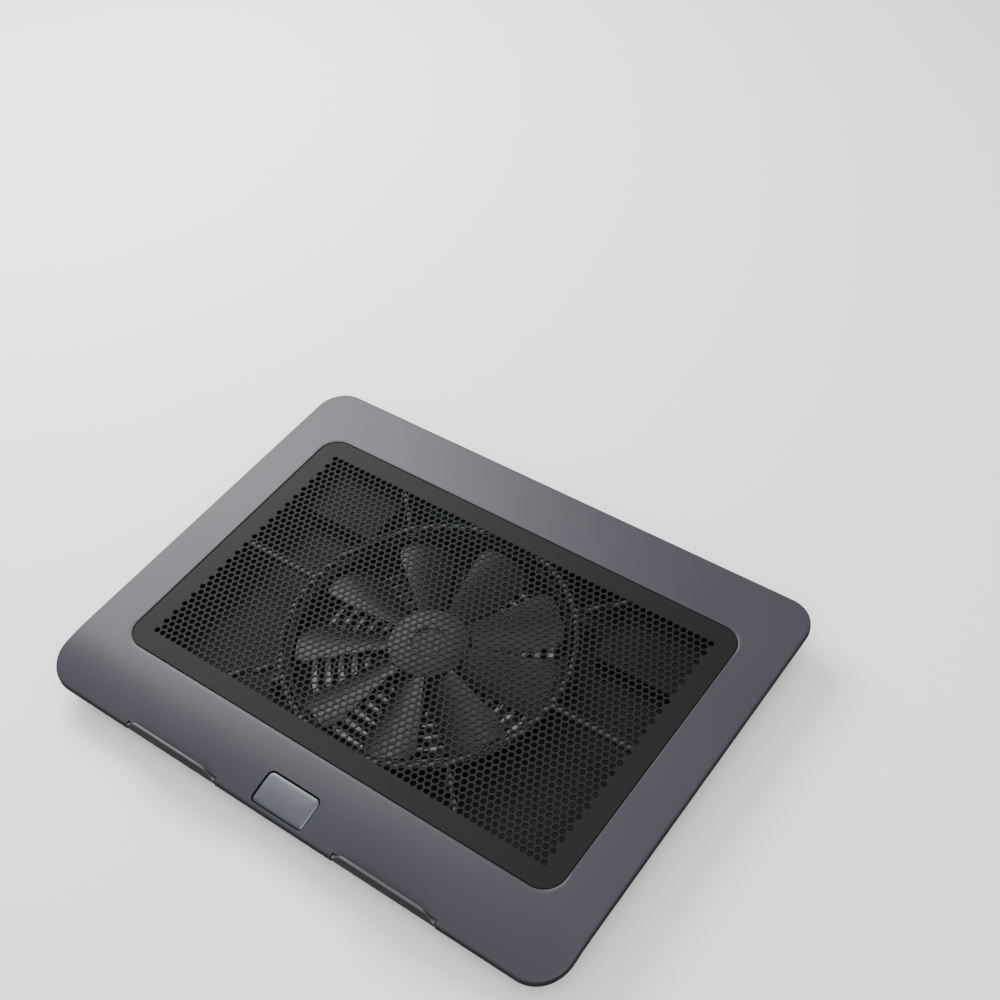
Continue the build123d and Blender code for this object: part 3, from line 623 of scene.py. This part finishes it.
def cell_grid(extra):
    """Grid of places with some columns and rows more than the pattern's; also gives its spans."""
    grid = deck_tree.nodes.new("GeometryNodeMeshGrid")
    spans = []
    for title, step, letter in (("Columns", column_pitch, "X"), ("Rows", row_pitch, "Y")):
        count = maths(deck_tree, "ADD", deck_in.outputs[title], extra)
        span = maths(deck_tree, "MULTIPLY", maths(deck_tree, "SUBTRACT", count, 1), step)
        deck_tree.links.new(span, grid.inputs["Size " + letter])
        deck_tree.links.new(count, grid.inputs["Vertices " + letter])
        spans.append(span)
    return grid.outputs["Mesh"], spans


whole_rows, pattern_spans = cell_grid(0)
between_rows = cell_grid(-1)[0]
border_rows = cell_grid(1)[0]
both_grids = deck_tree.nodes.new("GeometryNodeJoinGeometry")
spot = deck_tree.nodes.new("GeometryNodeInputPosition")
spot_parts = deck_tree.nodes.new("ShaderNodeSeparateXYZ")
deck_tree.links.new(spot.outputs["Position"], spot_parts.inputs["Vector"])
past = []
for coordinate, span in zip(spot_parts.outputs, pattern_spans):
    distance = maths(deck_tree, "ABSOLUTE", coordinate)
    half_span = maths(deck_tree, "MULTIPLY", span, 0.5)
    past.append(maths(deck_tree, "GREATER_THAN", distance, half_span))
outside = maths(deck_tree, "MAXIMUM", past[0], past[1])
cell_info = deck_tree.nodes.new("GeometryNodeObjectInfo")
cell_info.inputs["As Instance"].default_value = True
plain_info = deck_tree.nodes.new("GeometryNodeObjectInfo")
plain_info.inputs["As Instance"].default_value = True
punch = deck_tree.nodes.new("GeometryNodeInstanceOnPoints")
border = deck_tree.nodes.new("GeometryNodeInstanceOnPoints")
all_cells = deck_tree.nodes.new("GeometryNodeJoinGeometry")
shift = deck_tree.nodes.new("GeometryNodeTransform")
whole = deck_tree.nodes.new("GeometryNodeRealizeInstances")
weld = deck_tree.nodes.new("GeometryNodeMergeByDistance")
weld.inputs["Distance"].default_value = weld_gap
paint = deck_tree.nodes.new("GeometryNodeSetMaterial")
link_all(deck_tree, (
    (whole_rows, both_grids.inputs[0]),
    (between_rows, both_grids.inputs[0]),
    (deck_in.outputs["Cell"], cell_info.inputs["Object"]),
    (deck_in.outputs["Plain"], plain_info.inputs["Object"]),
    (both_grids.outputs[0], punch.inputs["Points"]),
    (cell_info.outputs["Geometry"], punch.inputs["Instance"]),
    (border_rows, border.inputs["Points"]),
    (outside, border.inputs["Selection"]),
    (plain_info.outputs["Geometry"], border.inputs["Instance"]),
    (punch.outputs["Instances"], all_cells.inputs[0]),
    (border.outputs["Instances"], all_cells.inputs[0]),
    (all_cells.outputs[0], shift.inputs["Geometry"]),
    (deck_in.outputs["Centre"], shift.inputs["Translation"]),
    (shift.outputs["Geometry"], whole.inputs["Geometry"]),
    (whole.outputs["Geometry"], weld.inputs["Geometry"]),
    (weld.outputs["Geometry"], paint.inputs["Geometry"]),
    (deck_in.outputs["Coating"], paint.inputs["Material"]),
    (paint.outputs["Geometry"], deck_out.inputs["Geometry"]),
))


def powder_coat(name, tone, rough):
    """Matt powder coat on steel: fine orange-peel skin with a slight uneven sheen."""
    material = moulded(name, tone, rough, 1500.0, 0.00004, 0.12)
    material.node_tree.nodes["Principled BSDF"].inputs["Specular IOR Level"].default_value = 0.14
    return material


sheet_black = powder_coat("powder_black", (0.0045, 0.0045, 0.005), 0.6)
cell_low = sheet_low + cell_inset
cell_top = sheet_top - cell_inset
cell = cell_piece("deck_cell", hole_pitch, hole_share, cell_low, cell_top)
plain_cell = plain_piece("plain_cell", hole_pitch, cell_low, cell_top)
hole_columns = int((2 * (window_half - margin)) / hole_pitch)
hole_rows = int((window_rear - window_front - 2 * margin) / (hole_pitch * sqrt(3)))
perforated_deck = run_tree(
    "perforated_deck",
    deck_tree,
    {
        "Cell": cell,
        "Plain": plain_cell,
        "Pitch": hole_pitch,
        "Columns": hole_columns,
        "Rows": hole_rows,
        "Centre": (0.0, (window_front + window_rear) / 2, 0.0),
        "Coating": sheet_black,
    },
)
bpy.data.objects.remove(cell)
bpy.data.objects.remove(plain_cell)


def close_border(piece, middle_z):
    """Joins the sheet's upper and lower border edges with upright faces."""
    sheet = bmesh.new()
    sheet.from_mesh(piece.data)
    rim_edges = [e for e in sheet.edges if e.is_boundary]
    below = {}
    for edge in rim_edges:
        for v in edge.verts:
            if v.co.z < middle_z:
                below[(round(v.co.x, 4), round(v.co.y, 4))] = v
    for edge in rim_edges:
        first, second = edge.verts
        if first.co.z > middle_z:
            under = [below[(round(v.co.x, 4), round(v.co.y, 4))] for v in (second, first)]
            sheet.faces.new((first, second, *under))
    bmesh.ops.recalc_face_normals(sheet, faces=sheet.faces)
    sheet.to_mesh(piece.data)
    sheet.free()


close_border(perforated_deck, (cell_low + cell_top) / 2)
shade(perforated_deck)
finish_piece(perforated_deck, sheet_black, "case", "black_steel_mesh", "mesh_panel")

hole_half_x = hole_columns * hole_pitch / 2
hole_half_y = ((hole_rows - 1) * sqrt(3) + 1) * hole_pitch / 2
sheet_middle = (window_front + window_rear) / 2
margin_plan = rounded_ring(
    hole_half_x, sheet_middle - hole_half_y, sheet_middle + hole_half_y, hole_corner, hole_corner
)
sheet_plan = rounded_ring(panel_high[0], panel_low[1], panel_high[1], sheet_corner, sheet_corner)
rolled_plan = rounded_ring(
    panel_high[0] - sheet_roll,
    panel_low[1] + sheet_roll,
    panel_high[1] - sheet_roll,
    sheet_corner - sheet_roll,
    sheet_corner - sheet_roll,
)
deck_margin = skin_rings(
    "deck_margin",
    [
        level(margin_plan, sheet_low),
        level(margin_plan, sheet_top),
        level(blend_rings(margin_plan, rolled_plan, 0.5), sheet_top),
        level(rolled_plan, sheet_top),
        level(sheet_plan, sheet_top - sheet_roll),
        level(sheet_plan, sheet_low),
    ],
)
shade(deck_margin)
finish_piece(deck_margin, sheet_black, "case", "black_steel_mesh", "mesh_panel")

# ---- Badge --------------------------------------------------------------------------------
# Plain pressed plate in satin silver-grey, glued in its pocket. Its face is very slightly
# crowned, inside a narrow turned-down border. It carries no lettering.
badge_border = 0.0009
badge_face_drop = 0.0002
badge_corner = 0.0028
badge_crown = 0.00005
badge_rings = []
badge_stations = (
    (0.0, 0.0014),
    (0.0, 0.00075),
    (0.00012, 0.00048),
    (0.0003, 0.00034),
    (badge_border, 0.0001),
    (badge_border + 0.00015, 0.00007),
    (0.0025, 0.00002),
    (0.005, -0.00003),
    (0.0075, -badge_crown),
)
for inset, drop in badge_stations:
    corner = max(0.0002, badge_corner - inset)
    plan = rounded_ring(
        badge_half - inset,
        badge_front + inset,
        badge_front + badge_depth - inset,
        max(0.0002, corner - 0.0008),
        corner,
        side_steps=14,
        arc_steps=8,
    )
    badge_rings.append(draped(shifted(plan, badge_centre_x), badge_face_drop + drop))
middle = Vector((badge_centre_x, badge_front + badge_depth / 2))
innermost = [
    (middle.x + (x - middle.x) * 0.05, middle.y + (y - middle.y) * 0.05) for x, y, z in badge_rings[-1]
]
badge_rings.append(draped(innermost, badge_face_drop - badge_crown))
badge_insert = skin_rings("badge_insert", badge_rings, closed=False)


def cap_ends(piece):
    """Closes the open ends of a piece with flat faces."""
    shell = bmesh.new()
    shell.from_mesh(piece.data)
    bmesh.ops.holes_fill(shell, edges=[e for e in shell.edges if e.is_boundary])
    bmesh.ops.recalc_face_normals(shell, faces=shell.faces)
    shell.to_mesh(piece.data)
    shell.free()


cap_ends(badge_insert)
shade(badge_insert, 20.0)


def satin_metal(name, tone, rough, grain, stretch=(1.0, 1.0, 1.0)):
    """Metal with a fine grain, which the stretch draws out along one direction."""
    material, tree, shader = new_material(name)
    shader.inputs["Metallic"].default_value = 0.85
    place = tree.nodes.new("ShaderNodeTexCoord")
    draw = tree.nodes.new("ShaderNodeMapping")
    draw.inputs["Scale"].default_value = stretch
    lines = tree.nodes.new("ShaderNodeTexNoise")
    lines.inputs["Scale"].default_value = grain
    lines.inputs["Detail"].default_value = 4.0
    shades = tree.nodes.new("ShaderNodeValToRGB")
    shades.color_ramp.elements[0].position = 0.35
    shades.color_ramp.elements[0].color = tuple(c * 0.95 for c in tone) + (1.0,)
    shades.color_ramp.elements[1].position = 0.65
    shades.color_ramp.elements[1].color = tuple(c * 1.05 for c in tone) + (1.0,)
    gloss = tree.nodes.new("ShaderNodeMapRange")
    gloss.inputs["To Min"].default_value = rough - 0.06
    gloss.inputs["To Max"].default_value = rough + 0.08
    bump = tree.nodes.new("ShaderNodeBump")
    bump.inputs["Strength"].default_value = 0.3
    bump.inputs["Distance"].default_value = 0.00002
    link_all(tree, (
        (place.outputs["Object"], draw.inputs["Vector"]),
        (draw.outputs["Vector"], lines.inputs["Vector"]),
        (lines.outputs["Fac"], shades.inputs["Fac"]),
        (shades.outputs["Color"], shader.inputs["Base Color"]),
        (lines.outputs["Fac"], gloss.inputs["Value"]),
        (gloss.outputs["Result"], shader.inputs["Roughness"]),
        (lines.outputs["Fac"], bump.inputs["Height"]),
        (bump.outputs["Normal"], shader.inputs["Normal"]),
    ))
    return material


badge_silver = satin_metal("badge_silver", (0.098, 0.106, 0.120), 0.42, 2200.0, (0.3, 1.0, 1.0))
finish_piece(badge_insert, badge_silver, "case", "badge_silver", "badge_plate")

# ---- Front stops --------------------------------------------------------------------------
# Two satin grey bars on steel pins: a round barrel with a thin upright blade whose ends slope
# down to the strip. They stand flush with the front edge and stop a notebook sliding off.
blade_length_top = 0.048
blade_thickness = 0.0020
blade_crest = 0.0010
barrel_sweep = 267
end_round = 0.0005
end_shrink = 0.16
end_rise = 0.0002
slope_softness = 0.10


def stop_section(x, height, axis_y, axis_z, barrel, scale):
    """Cross-section of a stop: barrel below, blade above, as a closed loop of points."""
    crest = min(blade_crest, height - barrel * 0.96)
    front = -barrel
    rear = front + blade_thickness
    loop = []
    for i in range(19):
        turn = radians(180 + barrel_sweep * i / 18)
        loop.append((barrel * cos(turn), barrel * sin(turn)))
    loop.append((rear, max(barrel * 1.02, (height - crest + barrel) / 2)))
    middle_y = (front + rear) / 2
    for i in range(9):
        turn = radians(180 * i / 8)
        loop.append((middle_y + (rear - middle_y) * cos(turn), height - crest + crest * sin(turn)))
    loop.append((front, (height - crest) * 0.5))
    return [(x, axis_y + y * scale, axis_z + z * scale) for y, z in loop]


stop_paint = moulded("stop_satin_grey", (0.070, 0.070, 0.076), 0.34, 2400.0, 0.00002)
# Painted shade: the stops' front faces and sloped ends are darkened towards this tone.
stop_grey = shade_sides_by_facing(stop_paint, (0.014, 0.014, 0.015), 0.2)
for side in ("left", "right"):
    joint = [j for j in frame["joints"] if j["name"] == side + "_stop_fold"][0]
    axis_y = joint["pos_m"][1]
    axis_z = joint["pos_m"][2]
    stop_low, stop_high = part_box(side + "_stopper")
    barrel = axis_y - stop_low[1]
    full_height = stop_high[2] - axis_z
    middle_x = (stop_low[0] + stop_high[0]) / 2
    half_length = (stop_high[0] - stop_low[0]) / 2
    slope_run = half_length - blade_length_top / 2
    offsets = [half_length, half_length - 0.0002, half_length - end_round]
    offsets += [half_length - slope_run * (0.1 + 0.9 * k / 12) for k in range(13)]
    offsets += [half_length - slope_run - 0.0015, half_length * 0.5, 0.0]
    sections = []
    for offset in offsets + [-o for o in reversed(offsets[:-1])]:
        away = half_length - abs(offset)
        rise = min(1.0, max(0.0, away / (slope_run + 0.001)))
        rounded = rise - slope_softness * sin(2 * pi * rise)
        height = barrel + end_rise + (full_height - barrel - end_rise) * rounded
        scale = 1.0 if away >= end_round - 1e-6 else 1.0 - end_shrink * (1 - away / end_round) ** 2
        sections.append(stop_section(middle_x + offset, height, axis_y, axis_z, barrel, scale))
    stop_bar = skin_rings(side + "_stop_bar", sections, closed=False)
    cap_ends(stop_bar)
    shade(stop_bar, 40.0)
    finish_piece(stop_bar, stop_grey, side + "_stop", "satin_grey", side + "_stopper")

# ---- Fan ----------------------------------------------------------------------------------
# One moulding in smooth black plastic: a round-edged hub over the motor with nine swept,
# twisted blades that thin towards their tips.
blade_count = 9
hub_radius = 0.022
hub_wall = 0.0016
blade_reach = fan_high[0] - 0.0002
blade_mid = 0.0134
hub_top = fan_high[2]
hub_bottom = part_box("rotor_yoke")[0][2]
root_chord = 0.0170
tip_chord = 0.0325
root_pitch = 30.0
tip_pitch = 14.0
blade_skin = 0.0013
blade_sweep = 0.0105
blade_camber = 0.07
blade_root_depth = 0.0012
tip_round_from = 0.85


def fan_blade():
    """One blade as a closed mesh on the X side of the fan's axis."""
    stations = 12
    across = 10
    rings = []
    for s in range(stations + 1):
        f = s / stations
        radius = hub_radius - blade_root_depth + (blade_reach - hub_radius + blade_root_depth) * f
        chord = root_chord + (tip_chord - root_chord) * f
        pitch = radians(root_pitch + (tip_pitch - root_pitch) * f)
        sweep_back = blade_sweep * f
        past_round = max(0.0, (f - tip_round_from) / (1 - tip_round_from))
        tip_ease = sqrt(1 - past_round ** 2 * 0.35)
        skin = blade_skin * (1.0 - 0.35 * f)
        loop = []
        for upper in (1, -1):
            for c in range(across + 1):
                g = c / across if upper > 0 else 1 - c / across
                along = (g - 0.5) * chord * tip_ease
                belly = blade_camber * chord * (1 - (2 * g - 1) ** 2)
                thin = skin * (0.25 + 0.75 * sqrt(max(0.0, 1 - (2 * g - 1) ** 2))) / 2
                loop.append((along, belly - blade_camber / 2 * chord + upper * thin))
        ring = []
        for along, lift in loop:
            y = sweep_back + along * cos(pitch) - lift * sin(pitch)
            z = blade_mid + along * sin(pitch) + lift * cos(pitch)
            x = sqrt(max(1e-8, radius ** 2 - y ** 2))
            ring.append((x, y, z))
        rings.append(ring)
    blade = skin_rings("fan_blade", rings, closed=False)
    cap_ends(blade)
    return blade


fan_tree, fan_in, fan_out = node_tree(
    "blades_round_hub",
    (
        ("Blade", "NodeSocketObject"),
        ("Hub", "NodeSocketObject"),
        ("Count", "NodeSocketInt"),
        ("Centre", "NodeSocketVector"),
        ("Plastic", "NodeSocketMaterial"),
    ),
)
stands = fan_tree.nodes.new("GeometryNodeMeshLine")
stands.mode = "OFFSET"
stands.inputs["Offset"].default_value = (0.0, 0.0, 0.0)
number = fan_tree.nodes.new("GeometryNodeInputIndex")
share = fan_tree.nodes.new("ShaderNodeMath")
share.operation = "DIVIDE"
turn_by = fan_tree.nodes.new("ShaderNodeMath")
turn_by.operation = "MULTIPLY"
turn_by.inputs[1].default_value = 2 * pi
turn_vector = fan_tree.nodes.new("ShaderNodeCombineXYZ")
blade_info = fan_tree.nodes.new("GeometryNodeObjectInfo")
blade_info.inputs["As Instance"].default_value = True
hub_info = fan_tree.nodes.new("GeometryNodeObjectInfo")
copies = fan_tree.nodes.new("GeometryNodeInstanceOnPoints")
together = fan_tree.nodes.new("GeometryNodeJoinGeometry")
to_place = fan_tree.nodes.new("GeometryNodeTransform")
one_mesh = fan_tree.nodes.new("GeometryNodeRealizeInstances")
plastic = fan_tree.nodes.new("GeometryNodeSetMaterial")
link_all(fan_tree, (
    (fan_in.outputs["Count"], stands.inputs["Count"]),
    (number.outputs["Index"], share.inputs[0]),
    (fan_in.outputs["Count"], share.inputs[1]),
    (share.outputs[0], turn_by.inputs[0]),
    (turn_by.outputs[0], turn_vector.inputs["Z"]),
    (fan_in.outputs["Blade"], blade_info.inputs["Object"]),
    (fan_in.outputs["Hub"], hub_info.inputs["Object"]),
    (stands.outputs["Mesh"], copies.inputs["Points"]),
    (blade_info.outputs["Geometry"], copies.inputs["Instance"]),
    (turn_vector.outputs["Vector"], copies.inputs["Rotation"]),
    (copies.outputs["Instances"], together.inputs[0]),
    (hub_info.outputs["Geometry"], together.inputs[0]),
    (together.outputs[0], to_place.inputs["Geometry"]),
    (fan_in.outputs["Centre"], to_place.inputs["Translation"]),
    (to_place.outputs["Geometry"], one_mesh.inputs["Geometry"]),
    (one_mesh.outputs["Geometry"], plastic.inputs["Geometry"]),
    (fan_in.outputs["Plastic"], plastic.inputs["Material"]),
    (plastic.outputs["Geometry"], fan_out.inputs["Geometry"]),
))


def lathe(name, profile, steps=72):
    """Piece turned about the upright axis from radii and heights that start and end on the axis."""
    turns = [2 * pi * i / steps for i in range(steps)]
    rings = [[(radius * cos(turn), radius * sin(turn), z) for turn in turns] for radius, z in profile]
    return skin_rings(name, rings, closed=False)


yoke_radius = hub_radius - hub_wall
hub_profile = (
    (0.0, hub_top - 0.0004),
    (0.0085, hub_top - 0.0004),
    (0.0088, hub_top - 0.0007),
    (0.0094, hub_top - 0.0007),
    (0.0097, hub_top),
    (hub_radius - 0.0016, hub_top - 0.0001),
    (hub_radius - 0.0006, hub_top - 0.0004),
    (hub_radius - 0.0001, hub_top - 0.0012),
    (hub_radius, hub_top - 0.0022),
    (hub_radius, hub_bottom),
    (yoke_radius + 0.0001, hub_bottom),
    (yoke_radius + 0.0001, hub_top - 0.0014),
    (0.0, hub_top - 0.0014),
)
hub_turned = lathe("fan_hub", hub_profile)
blade_one = fan_blade()
fan_black = moulded("fan_black", (0.012, 0.012, 0.013), 0.45, 900.0, 0.00002)
fan_wheel = run_tree(
    "fan_wheel",
    fan_tree,
    {
        "Blade": blade_one,
        "Hub": hub_turned,
        "Count": blade_count,
        "Centre": (0.0, fan_y, 0.0),
        "Plastic": fan_black,
    },
)
bpy.data.objects.remove(blade_one)
bpy.data.objects.remove(hub_turned)
shade(fan_wheel, 40.0)
finish_piece(fan_wheel, fan_black, "rotor", "fan_black", "fan_impeller")

# ---- Base, fan frame and rear feet ----------------------------------------------------------
# Black mouldings with a fine spark-eroded texture. The base is held by eight screws from
# below; the fan frame is screwed to it, and the feet clip into its pockets on trunnions.
base_black = moulded("spark_black", (0.007, 0.007, 0.0075), 0.6, 1300.0, 0.00012, 0.1)
base_black.node_tree.nodes["Principled BSDF"].inputs["Specular IOR Level"].default_value = 0.22
for node in ("base_shell", "fan_frame", "left_foot", "right_foot"):
    coat_node(node, base_black)

# ---- Desk pads ------------------------------------------------------------------------------
# Soft matt black rubber with rounded ends, glued into shallow seats in the base. Fine ribs
# across the face that stands on the desk keep it from sliding.
rubber_black = moulded("rubber_black", (0.019, 0.019, 0.020), 0.8, 1900.0, 0.00009, 0.15)
pad_rib_pitch = 0.0016
pad_rib_height = 0.0004
pad_rib_radius = pad_rib_height * 1.4
pad_rib_inset = 0.0011

rib_tree, rib_in, rib_out = node_tree(
    "ribbed_pad",
    (
        ("Body", "NodeSocketObject"),
        ("Rib", "NodeSocketObject"),
        ("Count", "NodeSocketInt"),
        ("Start", "NodeSocketVector"),
        ("Step", "NodeSocketVector"),
        ("Rubber", "NodeSocketMaterial"),
    ),
)
rib_line = rib_tree.nodes.new("GeometryNodeMeshLine")
rib_line.mode = "OFFSET"
body_info = rib_tree.nodes.new("GeometryNodeObjectInfo")
rib_info = rib_tree.nodes.new("GeometryNodeObjectInfo")
rib_info.inputs["As Instance"].default_value = True
rib_copies = rib_tree.nodes.new("GeometryNodeInstanceOnPoints")
rib_join = rib_tree.nodes.new("GeometryNodeJoinGeometry")
rib_whole = rib_tree.nodes.new("GeometryNodeRealizeInstances")
rib_coat = rib_tree.nodes.new("GeometryNodeSetMaterial")
link_all(rib_tree, (
    (rib_in.outputs["Count"], rib_line.inputs["Count"]),
    (rib_in.outputs["Start"], rib_line.inputs["Start Location"]),
    (rib_in.outputs["Step"], rib_line.inputs["Offset"]),
    (rib_in.outputs["Body"], body_info.inputs["Object"]),
    (rib_in.outputs["Rib"], rib_info.inputs["Object"]),
    (rib_line.outputs["Mesh"], rib_copies.inputs["Points"]),
    (rib_info.outputs["Geometry"], rib_copies.inputs["Instance"]),
    (body_info.outputs["Geometry"], rib_join.inputs[0]),
    (rib_copies.outputs["Instances"], rib_join.inputs[0]),
    (rib_join.outputs[0], rib_whole.inputs["Geometry"]),
    (rib_whole.outputs["Geometry"], rib_coat.inputs["Geometry"]),
    (rib_in.outputs["Rubber"], rib_coat.inputs["Material"]),
    (rib_coat.outputs["Geometry"], rib_out.inputs["Geometry"]),
))


def round_rib(name, half_span, radius):
    """Closed half-round rib, centred on the origin, with its crest downwards."""
    sections = []
    tapers = ((-half_span, 0.3), (-half_span + radius, 1.0), (half_span - radius, 1.0), (half_span, 0.3))
    for span, size in tapers:
        ring = []
        for i in range(9):
            turn = radians(180 + 180 * i / 8)
            across, z = radius * size * cos(turn), radius * size * sin(turn)
            ring.append((across, span, z))
        ring.append((0.0, span, radius * 0.3))
        sections.append(ring)
    rib = skin_rings(name, sections, closed=False)
    cap_ends(rib)
    return rib


for place_name in ("front_left", "front_right", "rear_left", "rear_right"):
    low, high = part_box(place_name + "_pad")
    pad_x = (low[0] + high[0]) / 2
    pad_y = (low[1] + high[1]) / 2
    pad_half = (high[0] - low[0]) / 2
    pad_round = (high[1] - low[1]) / 2 - 0.00001
    body_low = low[2] + pad_rib_height
    pad_rings = []
    for inset, z in (
        (0.0002, high[2]),
        (0.0, high[2] - 0.0002),
        (0.0, body_low + 0.0006),
        (0.0002, body_low + 0.0002),
        (0.0006, body_low),
    ):
        outline = rounded_ring(
            pad_half - inset,
            pad_y - pad_round + inset,
            pad_y + pad_round - inset,
            pad_round - inset - 0.0001,
            pad_round - inset - 0.0001,
            side_steps=2,
            arc_steps=10,
        )
        pad_rings.append(level(shifted(outline, pad_x), z))
    pad_body = skin_rings(place_name + "_body", pad_rings, closed=False)
    cap_ends(pad_body)
    rib = round_rib("pad_rib", pad_round - pad_rib_inset, pad_rib_radius)
    rib_count = int(2 * (pad_half - pad_round * 0.75) / pad_rib_pitch)
    desk_pad = run_tree(
        place_name + "_desk_pad",
        rib_tree,
        {
            "Body": pad_body,
            "Rib": rib,
            "Count": rib_count,
            "Start": (pad_x - (rib_count - 1) * pad_rib_pitch / 2, pad_y, low[2] + pad_rib_radius),
            "Step": (pad_rib_pitch, 0.0, 0.0),
            "Rubber": rubber_black,
        },
    )
    bpy.data.objects.remove(pad_body)
    bpy.data.objects.remove(rib)
    shade(desk_pad, 45.0)
    finish_piece(desk_pad, rubber_black, "case", "soft_rubber", place_name + "_pad")

# ---- Foot tips ------------------------------------------------------------------------------
# Soft rubber noses pushed on to the free ends of the rear feet, which grip the desk when the
# feet are out.
for node in ("left_foot_tip", "right_foot_tip"):
    coat_node(node, rubber_black)

# ---- Screws and pins ------------------------------------------------------------------------
# Black-oxide screws hold the case, the fan and the board; those of the case and the fan have
# cross recesses. The hinge pins of the stops are bright drawn steel.
screw_black = satin_metal("screw_black_oxide", (0.045, 0.045, 0.05), 0.38, 1400.0)
for node in ("case_screws", "fan_screws", "board_screws"):
    coat_node(node, screw_black)
drawn_steel = satin_metal("drawn_steel", (0.56, 0.56, 0.57), 0.25, 1500.0, (0.05, 1.0, 1.0))
for node in ("left_stopper_pin", "right_stopper_pin"):
    coat_node(node, drawn_steel)

# ---- Motor ----------------------------------------------------------------------------------
# Bonded ferrite magnet ring in the steel yoke, stacked core, copper windings, a steel shaft in
# a sintered bronze sleeve, and a nylon clip that keeps the shaft in.
for node in ("fan_shaft", "rotor_yoke"):
    coat_node(node, drawn_steel)
ferrite = moulded("ferrite", (0.035, 0.032, 0.032), 0.6, 1700.0, 0.00008, 0.2)
coat_node("rotor_magnet", ferrite)
natural_nylon = moulded("natural_nylon", (0.62, 0.60, 0.54), 0.45, 1200.0, 0.00003)
coat_node("shaft_clip", natural_nylon)
coat_node("bearing_sleeve", satin_metal("sintered_bronze", (0.42, 0.25, 0.12), 0.5, 1800.0))


def banded_metal(name, tone, rough, bands, direction):
    """Metal in thin layers or turns of wire: dark lines between close bands."""
    material = satin_metal(name, tone, rough, 1200.0)
    tree = material.node_tree
    shader = tree.nodes["Principled BSDF"]
    place = [n for n in tree.nodes if n.type == "TEX_COORD"][0]
    stripes = tree.nodes.new("ShaderNodeTexWave")
    stripes.wave_type = "BANDS"
    stripes.bands_direction = direction
    stripes.inputs["Scale"].default_value = bands
    stripes.inputs["Distortion"].default_value = 0.4
    bump = tree.nodes.new("ShaderNodeBump")
    bump.inputs["Strength"].default_value = 0.8
    bump.inputs["Distance"].default_value = 0.0001
    link_all(tree, (
        (place.outputs["Object"], stripes.inputs["Vector"]),
        (stripes.outputs["Fac"], bump.inputs["Height"]),
        (bump.outputs["Normal"], shader.inputs["Normal"]),
    ))
    return material


coat_node("stator_core", banded_metal("core_laminations", (0.28, 0.28, 0.29), 0.45, 640.0, "Z"))
coat_node("stator_coils", banded_metal("enamelled_copper", (0.55, 0.22, 0.08), 0.3, 1100.0, "DIAGONAL"))

# ---- Boards, sockets, switch and lead -------------------------------------------------------
# Green solder-masked boards with pressed steel sockets, black moulded inserts, and a soft
# black lead from the motor that ends in a nylon plug.
board_green = moulded("solder_mask", (0.012, 0.085, 0.035), 0.35, 700.0, 0.00004, 0.25)
for node in ("motor_board", "control_board"):
    coat_node(node, board_green)
for node in ("usb_shell", "power_inlet"):
    coat_node(node, drawn_steel)
insert_black = moulded("insert_black", (0.02, 0.02, 0.021), 0.45, 1600.0, 0.00006)
for node in ("usb_tongue", "switch_body", "switch_knob"):
    coat_node(node, insert_black)
coat_node("fan_lead", moulded("lead_jacket", (0.02, 0.02, 0.02), 0.55, 1500.0, 0.00005))
coat_node("lead_plug", natural_nylon)
